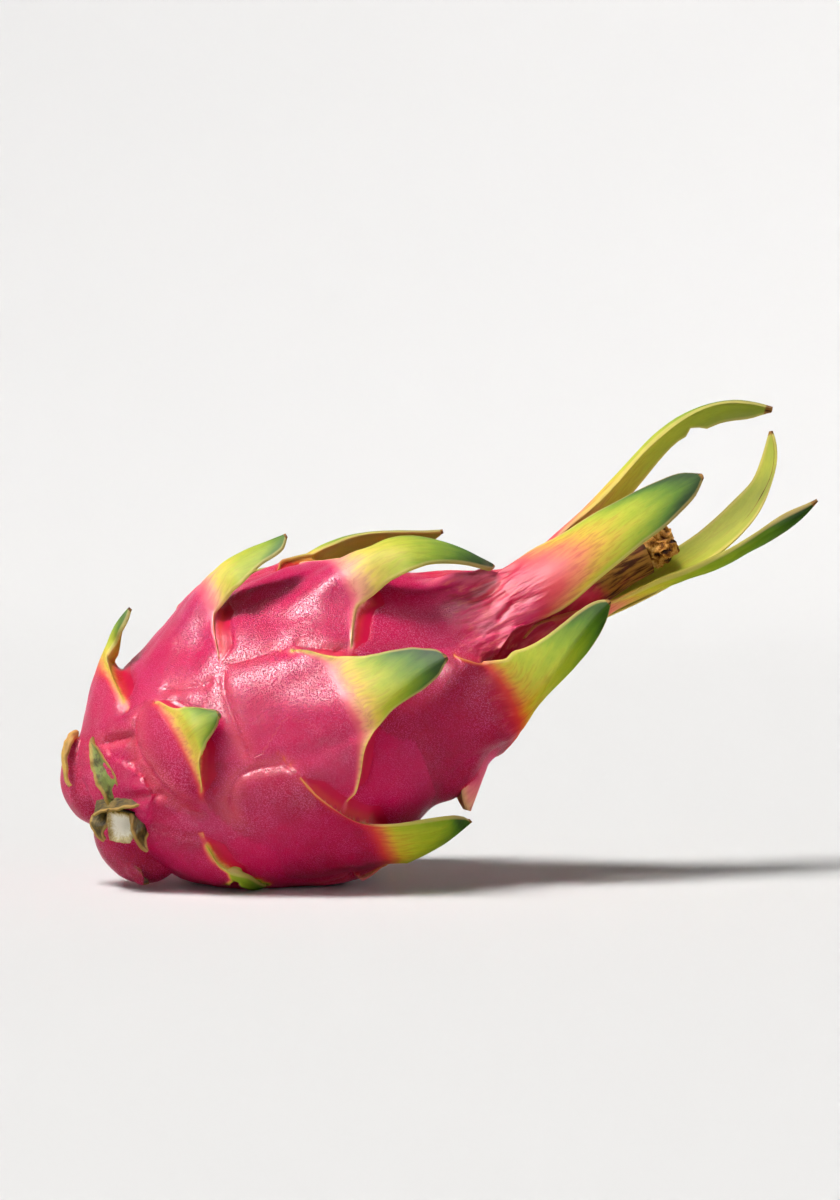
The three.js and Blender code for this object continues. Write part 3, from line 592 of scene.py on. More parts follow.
def shares_across(count):
    """Places across a sheet from -1 to 1, closer together towards its edges."""
    return np.sin(np.linspace(-1, 1, count + 1) * np.pi * 0.46) / math.sin(np.pi * 0.46)


def flow_marks(along, out, turn):
    """Coordinates for lines that run along the fruit."""
    return along / GRAIN, out * np.cos(turn), out * np.sin(turn)


def body_source():
    first, first_radius = BODY[0]
    last, last_radius = BODY[-1]
    fine = np.linspace(first, last, 3000)
    length = np.concatenate([[0], np.cumsum(np.hypot(np.diff(fine), np.diff(body_radius(fine))))])
    rows = np.interp(np.linspace(0, length[-1], BODY_ROWS), length, fine)
    turns = np.arange(BODY_ROUND) * 2 * np.pi / BODY_ROUND
    along, turn = np.meshgrid(rows, turns, indexing="ij")
    height, marks = relief(along, turn)
    skin = place(along, body_radius(along) + height, turn)
    stem = [place(np.full_like(turns, first + STEM_HOLLOW * (1 - s**2)), first_radius * s, turns)
            for s in np.linspace(0.12, 0.95, 8)]
    flower = [place(np.full_like(turns, last - FLOWER_HOLLOW * s), last_radius * (1 - 0.2 * s**0.6), turns)
              for s in (0.12, 0.35, 0.7, 1.0)]
    marks["gx"], marks["gy"], marks["gz"] = flow_marks(along, body_radius(along), turn)
    ripening, neck = sets_in(along, RIPENING), sets_in(along, NECK)
    marks["hue"] = np.maximum(marks["hue"], np.maximum(ripening * 0.16, 0.12 * neck))
    marks["halo"] = mix(marks["halo"], 0.5, neck)
    marks["tone"] = marks["tone"] - ripening
    # The withered tube by the flower turns brown, and its darkness is also painted shade under the crown's
    # bracts
    marks["dry"] = sets_in(along, WITHERED_AND_SHADED) * 0.68
    full = {name: np.concatenate([np.repeat(value[:1], len(stem), 0), value,
                                  np.repeat(value[-1:], len(flower), 0)]) for name, value in marks.items()}
    return barrel(np.concatenate([stem, skin, flower]), place(first + STEM_HOLLOW, 0, 0),
                  place(last - FLOWER_HOLLOW, 0, 0), full)


def on_skin(scale, ahead, side):
    """The bract's outer face where it still lies on the skin; side > 0 is the upper side."""
    along = scale["at"][0] + ahead
    turn = math.radians(scale["at"][1]) + side / body_radius(along)
    back = by_side(scale["back"], side)
    behind = np.maximum(-ahead - swept_back(scale, side), 0)
    lift = mix(PROUD, -SUNK, smooth(behind / (0.95 * back))) - 1.3 * (1 - smooth((1 + ahead / back) / 0.22))
    height, _, _ = shield_height(scale, ahead, side)
    return place(along, body_radius(along) + height + lift, turn)


def tongue_path(scale):
    along, out, turn = scale["tip"]
    turn, start_turn = math.radians(turn), math.radians(scale["at"][1])
    lead, lift, pitch, yaw = (math.radians(scale[name]) for name in ("lead", "lift", "pitch", "yaw"))
    zero = np.array(0.0)
    start = on_skin(scale, zero, zero)
    end = place(along, out, turn)
    around = OVER * math.cos(start_turn) - FRONT * math.sin(start_turn)
    leaving = unit(start - on_skin(scale, np.array(-2.0), zero))
    leaving = unit(leaving + math.tan(lead) * around + math.tan(lift) * outward(start_turn))
    arriving = AXIS * math.cos(pitch) + outward(turn) * math.sin(pitch)
    arriving = unit(arriving + math.tan(yaw) * (OVER * math.cos(turn) - FRONT * math.sin(turn)))
    first_pull, last_pull = np.array(scale["pull"]) * np.linalg.norm(end - start)
    return [start, start + leaving * first_pull, end - arriving * last_pull, end]


def blade(scale, number):
    """One bract: its root under the skin and its free tongue."""
    q = shares_across(ACROSS)
    path = tongue_path(scale)
    reach = bezier_length(path)
    at_along = scale["at"][0]
    start_turn, tip_turn = math.radians(scale["at"][1]), math.radians(scale["tip"][2])
    tip_turn += 2 * np.pi * round((start_turn - tip_turn) / (2 * np.pi))
    round_body = FRONT * math.sin(start_turn) - OVER * math.cos(start_turn)
    rise = np.linalg.norm(path[0] - axis_point(at_along)) / body_radius(at_along)
    burnt, halo = scale["burnt"], scale["halo"]

    def of(sides):
        return np.where(q <= 0, sides[0], sides[1])

    def row(point, facing, thick, half, hue, length, to_tip):
        depth = RIM + (thick - RIM) * (1 - q**2)
        marks = row_marks(q * half, half, length / GRAIN + APART * (number + 1), LIP["bract"],
                          hue=(hue, hue * 0.9 + 0.02), halo=(halo, halo * 0.5), tone=scale["tone"],
                          dry=1 - smooth((to_tip - burnt * 0.35) / (burnt * 0.65)))
        return point, point - facing * depth[:, None], marks

    def root_row(step):
        back = of(scale["back"])
        ahead = -back * (1 - step)
        tables = zip(scale["back"], scale["tables"])
        half = of([np.interp(far * (step - 1), *table) for far, table in tables])
        side = q * half
        facing = outward(start_turn - side / body_radius(at_along + ahead))
        behind = np.maximum(-ahead - swept_back(scale, -side), 0)
        hue = shield_hue(scale, behind, -side, ahead)
        return row(on_skin(scale, ahead, -side), facing, THICK, half, hue, ahead, reach)

    def half_widths(t):
        if scale["width"]:
            return of([max(float(curve_through(knots, t)), THINNEST) for knots in scale["width"]])
        half = of(scale["tongue"]) * (1 - min(t, 0.997) ** of(scale["taper"])) ** 0.75
        return half * mix(rise, 1.0, smooth(t / 0.4))

    def tongue(t):
        """Points across the tongue at that share of its length, the way it faces, and its half-widths."""
        half = half_widths(t)
        calm = min(1.0, half.min() / min(scale["tongue"]) * 2)
        for at, which, deep, wide in scale["nicks"]:
            cut = deep * math.exp(-(((t - at) / wide) ** 2))
            half = np.where(np.sign(q) == which, half * (1 - cut), half)
        side = q * half
        way = bezier_way(path, t)
        sideways = unit(np.cross(way, outward(mix(start_turn, tip_turn, t))))
        sideways = unit(mix(round_body, sideways, smooth(t / scale["turning"])))
        facing = unit(np.cross(sideways, way))
        twist = math.radians(mix(*scale["twist"], t))
        sideways, facing = (sideways * math.cos(twist) + facing * math.sin(twist),
                            facing * math.cos(twist) - sideways * math.sin(twist))
        ripple = scale["wave"] * q**2 * np.sin(t * reach / 6 + np.sign(q) * 1.7 + number) * smooth(t * 4)
        as_skin = side**2 / (2 * body_radius(at_along))
        as_skin += scale["ridge"] * (1 - np.exp(-((side / of(scale["wide"])) ** 2)))
        cupped = scale["cup"] * np.abs(q) ** scale["keel"] * half
        raised = ripple * calm - mix(as_skin, cupped, smooth(t / 0.4))
        return bezier(path, t) + sideways * side[:, None] + facing * raised[:, None], facing, half

    def free_row(t):
        point, facing, half = tongue(t)
        point = point + gap * (1 - smooth(t / 0.2))
        length = t * reach
        on_tongue = tongue_hue(scale, length + scale["fringe"] * np.abs(q) ** 3, reach)
        hue = mix(shield_hue(scale, 0 * q, -q * half, 0 * q), on_tongue, smooth(t * 7))
        return row(point, facing, mix(THICK, TIP_THICK, t), half, hue, length, reach - length)

    gap = on_skin(scale, 0 * q, -q * of(scale["tongue"])) - tongue(0.0)[0]
    rows = [root_row(step) for step in np.linspace(0, 1, ROOT_ROWS, endpoint=False)]
    rows += [free_row(t) for t in 1 - (1 - np.linspace(0, 1, TONGUE_ROWS)) ** 1.35]
    return plate(rows)


def lobe(shape, steps=34, across=18, seed=1, curl=0.0):
    """A sheet along a bent line, crumpled and dry where its shape says so."""
    q = shares_across(across)
    path = spots(shape["path"])
    first_look, last_look = spots(shape["facing"]) - STEM_END
    reach = bezier_length(path)
    rows = []
    for t in np.linspace(0, 1, steps):
        way = bezier_way(path, t)
        sideways = unit(np.cross(way, mix(first_look, last_look, t)))
        facing = np.cross(sideways, way)
        half, deep = (float(curve_through(shape[name], t)) for name in ("half", "thick"))
        raised = curl * np.abs(q) ** 3 * half - shape["cup"] * q**2 * half
        point = bezier(path, t) + sideways * (q * half)[:, None] + facing * raised[:, None]
        depth = mix(min(RIM, deep), deep, 1 - q**2)
        dry = shape.get("dry", 1 - smooth(((1 - t) * reach - 0.6) / 1.6)) + 0 * q
        if "seam" in shape:
            seam = 0.7 * np.exp(-(((q - shape["seam"]) / 0.07) ** 2)) * smooth(t * 3 - 1.2)
            dry = np.maximum(dry, seam)
        marks = row_marks(q * half, half, t * reach / GRAIN + 900, LIP["lobe"], dry=dry,
                          hue=mix(*shape.get("hue", (0.0, 0.0)), t), tone=shape.get("tone", 0.0),
                          halo=shape.get("halo", 0.3))
        rows.append((point, point - facing * depth[:, None], marks))
    outer = np.array([row[0] for row in rows])
    lumps = [waves(outer, 6, seed + k) + 0.6 * waves(outer, 2.8, seed + 7 + k) for k in range(3)]
    hold = smooth(np.linspace(0, 1, steps) * 4)[:, None, None]
    return plate(rows, shape.get("crumple", 0.0) * np.stack(lumps, -1) * hold)


# ---- Joining ----

def blender_object(name, points, triangles):
    mesh = bpy.data.meshes.new(name)
    mesh.from_pydata((np.asarray(points) * MM).tolist(), [], np.asarray(triangles).tolist())
    mesh.validate()
    thing = bpy.data.objects.new(name, mesh)
    bpy.context.scene.collection.objects.link(thing)
    return thing


def read_mesh(mesh):
    """(points in millimetres, triangles) of a mesh."""
    mesh.calc_loop_triangles()
    triangles = np.zeros(len(mesh.loop_triangles) * 3, np.int32)
    mesh.loop_triangles.foreach_get("vertices", triangles)
    points = np.zeros(len(mesh.vertices) * 3, np.float32)
    mesh.vertices.foreach_get("co", points)
    return points.reshape(-1, 3).astype(float) / MM, triangles.reshape(-1, 3)


def joined(sources, cutters=()):
    """All the closed meshes as one, less the cutters: (points, triangles)."""
    base = blender_object("joining", sources[0]["points"], sources[0]["triangles"])
    helpers = []
    steps = [(part, "UNION") for part in sources[1:]] + [(part, "DIFFERENCE") for part in cutters]
    for k, (part, operation) in enumerate(steps):
        helper = blender_object(f"join_{k}", part["points"], part["triangles"])
        modifier = base.modifiers.new(f"join_{k}", "BOOLEAN")
        modifier.operation, modifier.solver, modifier.object = operation, "MANIFOLD", helper
        helpers.append(helper)
    bpy.context.view_layer.update()
    evaluated = base.evaluated_get(bpy.context.evaluated_depsgraph_get())
    mesh = bpy.data.meshes.new_from_object(evaluated)
    result = read_mesh(mesh)
    for thing in [base, *helpers]:
        bpy.data.objects.remove(thing)
    bpy.data.meshes.remove(mesh)
    return result


def marks_from(sources, points):
    """Each point's marks, read off the nearest source triangle, and which source that was."""
    offsets = np.cumsum([0] + [len(part["points"]) for part in sources])
    corners = np.concatenate([part["points"] for part in sources])
    triangles = np.concatenate([part["triangles"] + offset for part, offset in zip(sources, offsets)])
    owner = np.repeat(np.arange(len(sources)), [len(part["triangles"]) for part in sources])
    tree = BVHTree.FromPolygons(corners.tolist(), triangles.tolist(), all_triangles=True)
    nearest = np.array([tree.find_nearest(p)[2] for p in points.tolist()])
    a, b, c = (corners[triangles[nearest, k]] for k in range(3))
    v0, v1, v2 = b - a, c - a, points - a
    d00, d01, d11 = (v0 * v0).sum(-1), (v0 * v1).sum(-1), (v1 * v1).sum(-1)
    d20, d21 = (v2 * v0).sum(-1), (v2 * v1).sum(-1)
    down = d00 * d11 - d01 * d01
    down = np.where(np.abs(down) < 1e-12, 1.0, down)
    share_b, share_c = clamp01((d11 * d20 - d01 * d21) / down), clamp01((d00 * d21 - d01 * d20) / down)
    share_a = clamp01(1 - share_b - share_c)
    shares = [share_a, share_b, share_c]
    marks = {}
    for name in MARKS:
        value = np.concatenate([part["marks"][name] for part in sources])
        total = sum(value[triangles[nearest, k]] * shares[k] for k in range(3))
        marks[name] = total / sum(shares)
    return marks, owner[nearest]


def edges_of(triangles):
    pairs = np.concatenate([triangles[:, [0, 1]], triangles[:, [1, 2]], triangles[:, [2, 0]]])
    return np.unique(np.sort(pairs, axis=1), axis=0)


def spread(values, edges, count):
    """Mean of each vertex's neighbours."""
    if values.ndim > 1:
        return np.stack([spread(values[:, k], edges, count) for k in range(values.shape[1])], -1)
    a, b = edges.T
    degree = np.maximum(np.bincount(a, minlength=count) + np.bincount(b, minlength=count), 1)
    return (np.bincount(a, values[b], count) + np.bincount(b, values[a], count)) / degree


def normals_of(points, triangles):
    a, b, c = (points[triangles[:, k]] for k in range(3))
    flat = np.cross(b - a, c - a)
    total = [sum(np.bincount(corner, part, len(points)) for corner in triangles.T) for part in flat.T]
    return unit(np.stack(total, -1))


def soften_seams(points, triangles, marks, owner):
    """Rounds the crease where a bract's outer face leaves the skin."""
    count = len(points)
    edges = edges_of(triangles)
    across = owner[edges[:, 0]] != owner[edges[:, 1]]
    on_seam = np.zeros(count, bool)
    on_seam[edges[across].ravel()] = True
    on_seam &= (marks["inner"] < 0.2) & (marks["rim"] < 0.35) & (marks["under"] < 0.3)
    wide = on_seam.astype(float)
    for _ in range(SEAM_ROUNDS["reach"]):
        wide = np.maximum(wide, spread(wide, edges, count) * 0.95)
    hold = clamp01(wide * 1.4) * (marks["rim"] < 0.6) * (marks["inner"] < 0.5)
    for _ in range(SEAM_ROUNDS["points"]):
        points = points + (spread(points, edges, count) - points) * (0.5 * hold)[:, None]
    for name in ("hue", "tone", "under"):
        value = marks[name]
        for _ in range(SEAM_ROUNDS["colour"]):
            value = value + (spread(value, edges, count) - value) * 0.5 * clamp01(hold * 1.5)
        marks[name] = value
    return points, marks


def line_distance(along, turn, line):
    """Signed distance in millimetres to a line of (along, turn) points over the skin, and how far along it
    the nearest point lies, from 0 to 1."""
    radius = np.maximum(body_radius(np.clip(along, 0, BODY[-1][0])), 8) + 3
    best = np.full(along.shape, 1e9)
    sign = np.ones(along.shape)
    share = np.zeros(along.shape)
    total = len(line) - 1
    for k in range(total):
        (a0, t0), (a1, t1) = line[k], line[k + 1]
        x, y = along - a0, radius * wrapped(turn - math.radians(t0))
        dx, dy = a1 - a0, radius * math.radians(t1 - t0)
        s = clamp01((x * dx + y * dy) / (dx * dx + dy * dy))
        away = np.hypot(x - s * dx, y - s * dy)
        closer = away < best
        best = np.where(closer, away, best)
        sign = np.where(closer, np.sign(dx * y - dy * x), sign)
        share = np.where(closer, (k + s) / total, share)
    return best * sign, share


def crease_lines():
    """The creases in sight, and on the far side one that runs back from each end of a flank."""
    lines = list(CREASES)
    for scale in (scale for scale in SCALES if scale["name"] in FAR_SIDE):
        for way, flank, back in zip((1, -1), scale["flank"], scale["back"]):
            along = scale["at"][0] - back
            degrees = way * math.degrees(flank / (body_radius(along) + 2))
            line = [(along - run, scale["at"][1] + degrees * (1 - drift))
                    for run, drift in ((-1, 0), (6, 0.04), (12, 0.12), (19, 0.26)) if along - run > 4]
            if len(line) > 1:
                lines.append(line)
    return lines


def crease_marks(along, turn):
    """Signed distance to the nearest crease, and how strong the crease is there."""
    nearest, strength = np.full_like(along, FAR), np.zeros_like(along)
    for line in crease_lines():
        distance, share = line_distance(along, turn, line)
        on = smooth(share * 8 + 0.2) * smooth((1 - share) * 6 + 0.15)
        closer = np.abs(distance) + 3 * (1 - on) < np.abs(nearest) + 3 * (1 - strength)
        nearest = np.where(closer, distance, nearest)
        strength = np.where(closer, on, strength)
    return np.clip(nearest, -FAR, FAR), strength


def fold_skin(points, triangles, marks):
    """Lumps, wrinkles, folds and creases, moved along the normals."""
    along, out, turn = found(points)
    normal = normals_of(points, triangles)
    facing = clamp01((normal * outward(turn)).sum(-1) * 1.5)
    outer = clamp01(1 - marks["inner"] * 1.5) * facing
    near_skin = 1 - smooth((out - body_radius(np.clip(along, BODY[0][0], BODY[-1][0])) - 7) / 4)
    shift = sum(height * waves(points, size, seed) for height, size, seed in LUMPS)
    shift = shift * (1 - 0.6 * marks["rim"]) * mix(0.3, 1, near_skin)
    flow = np.stack(flow_marks(along, out, turn), -1)
    wrinkled = sets_in(along, WRINKLES) * (1 - sets_in(along, WITHERED_AND_SHADED)) * near_skin * outer
    ridges = [1 - np.abs(waves(flow, size, seed)) * 1.6 for _, size, seed in NECK_WRINKLES]
    shift += wrinkled * sum(height * ridge for (height, _, _), ridge in zip(NECK_WRINKLES, ridges))
    # Pale on the wrinkles' ridges and dark between them: painted highlight and painted shade
    fold = wrinkled * (ridges[0] * 0.3 - 0.1)
    for line, height, width in FOLDS:
        distance, share = line_distance(along, turn, line)
        ends = smooth(share * 5 + 0.1) * smooth((1 - share) * 5 + 0.1) * near_skin * outer
        profile = ends * np.exp(-((distance / width) ** 2))
        # Raised folds are painted paler and grooves darker: painted highlight and painted shade
        fold += np.sign(height) * profile * 0.8
        shift += height * profile
    crease, strength = crease_marks(along, turn)
    strength = strength * near_skin * outer * (marks["rim"] < 0.3)
    (hollow, wide), (line, narrow) = CREASE
    shift -= strength * (hollow * np.exp(-np.abs(crease) / wide) + line * np.exp(-((crease / narrow) ** 2)))
    marks.update(fold=np.clip(fold, -1, 1), sleek=sets_in(along, SLEEK), crease=crease, creased=strength,
                 fx=flow[:, 0], fy=flow[:, 1], fz=flow[:, 2])
    return points + normal * shift[:, None], marks


VECTORS = {"grain": ("gx", "gy", "gz"), "flow": ("fx", "fy", "fz")}


def finished(name, points, triangles, marks, node, material, sharp=50):
    """The piece itself: shaded smooth, with its marks as attributes."""
    piece = blender_object(name, points, triangles)
    mesh = piece.data
    for vector, parts in VECTORS.items():
        if parts[0] in marks:
            values = np.stack([marks.pop(part) for part in parts], -1)
            attribute = mesh.attributes.new(vector, "FLOAT_VECTOR", "POINT")
            attribute.data.foreach_set("vector", values.astype(np.float32).ravel())
    for mark, value in marks.items():
        attribute = mesh.attributes.new(mark, "FLOAT", "POINT")
        attribute.data.foreach_set("value", value.astype(np.float32))
    mesh.shade_smooth()
    mesh.set_sharp_from_angle(angle=math.radians(sharp))
    mesh.materials.append(material)
    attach(piece, "root")
    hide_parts(node)


# ---- Materials ----

class Value:
    """What a node gives; sums and products of values make nodes of their own."""

    def __init__(self, graph, socket):
        self.graph, self.socket = graph, socket

    def __add__(self, other):
        return self.graph.math("ADD", self, other)

    def __sub__(self, other):
        return self.graph.math("SUBTRACT", self, other)

    def __rsub__(self, other):
        return self.graph.math("SUBTRACT", other, self)

    def __mul__(self, other):
        return self.graph.math("MULTIPLY", self, other)


class Graph:
    """A material's nodes, made by short calls. Where a value goes in, a number or colour may be given."""

    def __init__(self, name):
        self.material = bpy.data.materials.new(name)
        self.material.use_nodes = True
        self.tree = self.material.node_tree
        self.object = self.node("TexCoord", "Object")

    def put(self, socket, value):
        if isinstance(value, Value):
            self.tree.links.new(value.socket, socket)
        elif socket.type == "RGBA":
            socket.default_value = (*value, 1.0)
        else:
            socket.default_value = value

    def node(self, kind, output, inputs=(), **settings):
        node = self.tree.nodes.new("ShaderNode" + kind)
        for name, value in settings.items():
            setattr(node, name, value)
        for name, value in dict(inputs).items():
            self.put(node.inputs[name], value)
        return Value(self, node.outputs[output])

    def mark(self, name, output="Fac"):
        return self.node("Attribute", output, attribute_name=name)

    def math(self, operation, a, b=0.0):
        return self.node("Math", 0, {0: a, 1: b}, operation=operation)

    def blend(self, share, a, b, kind="MIX"):
        inputs = {0: share, 6: a, 7: b}
        return self.node("Mix", 2, inputs, data_type="RGBA", blend_type=kind, clamp_factor=True)

    def tint(self, colour, share, shade):
        """The colour turned towards an sRGB shade by that share."""
        return self.blend(share, colour, srgb(shade))

    def span(self, value, low, high, to_low=0.0, to_high=1.0):
        """to_low to to_high as the value goes from low to high."""
        inputs = {"Value": value, "From Min": low, "From Max": high, "To Min": to_low, "To Max": to_high}
        return self.node("MapRange", "Result", inputs, interpolation_type="SMOOTHSTEP")

    def ramp(self, value, stops):
        colour = self.node("ValToRGB", "Color", {"Fac": value})
        elements = colour.socket.node.color_ramp.elements
        while len(elements) < len(stops):
            elements.new(0.5)
        for element, (position, shade) in zip(elements, stops):
            element.position = position
            element.color = (*srgb(shade), 1.0)
        return colour

    def noise(self, scale, detail=3.0, vector=None, rough=0.5):
        inputs = {"Scale": scale, "Detail": detail, "Roughness": rough, "Vector": vector or self.object}
        return self.node("TexNoise", "Fac", inputs)

    def cells(self, scale):
        return self.node("TexVoronoi", "Distance", {"Scale": scale, "Vector": self.object})

    def bump(self, height, strength, distance, under=None):
        inputs = {"Height": height, "Strength": strength, "Distance": distance}
        if under:
            inputs["Normal"] = under
        return self.node("Bump", "Normal", inputs)

    def surface(self, colour, roughness, specular, normal=None):
        """The finished material."""
        shader = self.tree.nodes["Principled BSDF"]
        self.put(shader.inputs["Base Color"], colour)
        self.put(shader.inputs["Roughness"], roughness)
        shader.inputs["Specular IOR Level"].default_value = specular
        if normal:
            self.put(shader.inputs["Normal"], normal)
        return self.material


def srgb(colour):
    """Linear colour of an sRGB one, 0 to 255."""
    return tuple(((c / 255 + 0.055) / 1.055) ** 2.4 if c > 10 else c / 255 / 12.92 for c in colour)


RIPE = [(0.52, (176, 180, 36)), (0.64, (132, 156, 22)), (0.78, (84, 120, 10)), (0.90, (50, 84, 4)),
        (1.0, (30, 58, 2))]
PALE_RAMP = [(0.0, (194, 0, 74)), (0.09, (208, 38, 92)), (0.18, (228, 100, 118)), (0.27, (236, 160, 132)),
             (0.40, (220, 194, 76)), *RIPE]
WARM_RAMP = [(0.0, (194, 0, 74)), (0.09, (196, 14, 48)), (0.18, (206, 50, 34)), (0.27, (212, 108, 30)),
             (0.40, (204, 164, 34)), *RIPE]


def skin_material():
    g = Graph("skin")
    hue, tone, under, rim = (g.mark(name) for name in ("hue", "tone", "under", "rim"))
    fold, sleek = g.mark("fold"), g.mark("sleek")
    grain = g.mark("grain", "Vector")
    broad, middling = g.noise(55), g.noise(260, 4)
    streaks = g.noise(1.6, 4, grain)
    on_tongue = g.span(hue, 0.1, 0.35)
    pink = g.span(hue, 0.04, 0.2, 1.0, 0.0)

    # From pink over pale or orange to yellow and green, with deeper and lighter patches of the pink, some of
    # them painted shade and painted highlight
    mottle = streaks * 0.5 + g.noise(0.45, 3, grain) * 0.5
    ripeness = hue + (middling - 0.5) * 0.06 + (mottle - 0.5) * (on_tongue * 0.36)
    colour = g.blend(g.mark("halo"), g.ramp(ripeness, WARM_RAMP), g.ramp(ripeness, PALE_RAMP))
    # Low tone deepens the pink; on B6 and B7 this is painted shade
    colour = g.tint(colour, g.span(tone * -0.6 + broad, 0.42, 1.0) * pink, (160, 2, 50))
    colour = g.tint(colour, g.span(tone * 0.5 + broad, 0.50, 1.0) * pink * 0.36, (230, 60, 134))
    # The under mark turns the skin in front of a shield's edge deep red: painted shade under the lip
    colour = g.tint(colour, under * 0.6, (170, 8, 30))
    # Pale on fold ridges and deep red in fold grooves: painted highlight and painted shade
    colour = g.tint(colour, g.math("MAXIMUM", fold, 0.0) * 0.4, (240, 160, 176))
    colour = g.tint(colour, g.math("MAXIMUM", fold * -1.0, 0.0) * 0.7, (180, 10, 44))

    # The smooth strip before an edge, and the creases, with a dark line painted into each crease and where
    # the strip ends as painted shade
    ragged = (g.noise(600) - 0.5) * 0.5
    front = g.mark("front") + ragged
    in_trough = g.span(front, 4.7, 4.1) * pink
    colour = g.tint(colour, in_trough * 0.4, (190, 10, 50))
    colour = g.tint(colour, g.span(front, 3.0, 0.5) * pink * 0.35, (206, 84, 50))
    away = g.math("ABSOLUTE", g.mark("crease") + ragged)
    creased = g.mark("creased") * pink
    broken = g.span(g.noise(230, 2), 0.34, 0.6, 0.25, 1.0)
    line = g.span(away, 0.95, 0.05) * (creased * broken)
    trough_end = g.span(g.math("ABSOLUTE", front - TROUGH["length"]), 0.6, 0.05) * pink
    line = g.math("MAXIMUM", line, trough_end * (broken * 0.6))
    colour = g.tint(colour, g.span(away, 4.2, 0.4) * creased * 0.34, (230, 92, 100))
    # A dark line in each crease and where the strip ends: painted shade
    colour = g.tint(colour, line * 0.7, (182, 4, 58))

    # Lines drawn out along the neck, and light dots on the rest of the pink
    drawn = sleek * pink
    lines = g.noise(0.8, 3, g.mark("flow", "Vector"))
    colour = g.tint(colour, g.span(lines, 0.5, 0.3) * drawn * 0.5, (160, 8, 30))
    colour = g.tint(colour, g.span(lines, 0.5, 0.75) * drawn * 0.45, (236, 120, 104))
    dots = g.math("MAXIMUM", g.span(g.cells(2300), 0.46, 0.16), g.span(g.cells(3600), 0.46, 0.12) * 0.7)
    rough_skin = pink * (1.0 - g.math("MAXIMUM", in_trough, sleek))
    patches = rough_skin * g.span(g.noise(140), 0.3, 0.62, 0.35, 1.0)
    colour = g.tint(colour, dots * patches * 0.52, (240, 96, 168))

    # Streaks, hollow sides, rims and burnt tips of the tongues
    colour = g.blend(g.span(streaks, 0.56, 0.36) * on_tongue * 0.5, colour, (0.62, 0.66, 0.4), "MULTIPLY")
    colour = g.tint(colour, g.mark("inner") * 0.3, (186, 186, 86))
    colour = g.tint(colour, g.span(rim, 0.3, 0.95) * g.span(hue, 0.08, 0.3) * 0.4, (226, 190, 110))
    # The dry mark browns burnt tips and the withered tube; the tube's dark brown is partly painted shade
    burnt = g.span(g.mark("dry") + (middling - 0.5) * 0.5, 0.3, 0.7)
    scorched = g.blend(g.span(g.noise(1.1, 5, grain), 0.36, 0.62), srgb((66, 34, 12)), srgb((150, 104, 40)))
    colour = g.blend(burnt, colour, scorched)

    roughness = middling * 0.10 + 0.29 + burnt * 0.3 + on_tongue * 0.38 + sleek * 0.2
    normal = g.bump(dots * rough_skin, 0.9, 0.00016)
    normal = g.bump(line * -1.0, 0.6, 0.0002, normal)
    normal = g.bump(g.noise(700), 0.25, 0.00016, normal)
    normal = g.bump(streaks * on_tongue, 0.15, 0.0004, normal)
    normal = g.bump(lines * drawn, 0.6, 0.001, normal)
    normal = g.bump(middling, 0.2, 0.0006, normal)
    return g.surface(colour, roughness, 0.11, normal)


DRY_STEM = [(0.2, (34, 26, 10)), (0.38, (92, 76, 28)), (0.56, (142, 112, 50)), (0.78, (204, 188, 138)),
            (1.0, (242, 238, 218))]
WITHERED_FLOWER = [(0.25, (40, 18, 4)), (0.42, (112, 66, 20)), (0.58, (176, 118, 42)), (0.8, (224, 174, 92))]


def dry_material(name, stops):
    g = Graph(name)
    blotch, fine = g.noise(420, 5, rough=0.6), g.noise(1680, 4)
    fibre = g.noise(2.2, 4, g.mark("grain", "Vector"))
    value = blotch * 0.6 + fibre * 0.4 + g.mark("hue") - g.mark("dry") * 0.3
    colour = g.tint(g.ramp(value, stops), g.mark("inner") * 0.6, (84, 96, 30))
    colour = g.tint(colour, g.mark("tone") * g.span(blotch, 0.36, 0.56, 0.15, 0.8), (122, 140, 58))
    colour = g.tint(colour, g.span(g.mark("rim"), 0.3, 0.9) * 0.55, (212, 168, 82))
    normal = g.bump(fibre, 0.6, 0.0008, g.bump(fine, 0.5, 0.0003))
    return g.surface(colour, fine * 0.25 + 0.62, 0.08, normal)


# ---- The pieces ----

def fruit_skin(material):
    sources = [body_source()]
    sources += [blade(scale, k) for k, scale in enumerate(SCALES) if scale["tip"]]
    sources += [lobe(shape) for shape in LOBES]
    points, triangles = joined(sources, [below_the_floor()])
    marks, owner = marks_from(sources, points)
    points, marks = soften_seams(points, triangles, marks, owner)
    points, marks = fold_skin(points, triangles, marks)
    points[:, 2] = np.maximum(points[:, 2], 0)
    finished("fruit_skin", points, triangles, marks, "fruit", material)


def below_the_floor(reach=300, depth=100):
    """A box that cuts the flat spot the fruit rests on."""
    corners = [(x, y, z) for z in (-depth, 0) for y in (-reach, reach) for x in (-reach, reach)]
    faces = [(0, 2, 3), (0, 3, 1), (4, 5, 7), (4, 7, 6), (0, 1, 5), (0, 5, 4), (2, 6, 7), (2, 7, 3),
             (0, 4, 6), (0, 6, 2), (1, 3, 7), (1, 7, 5)]
    return source(corners, faces, {})


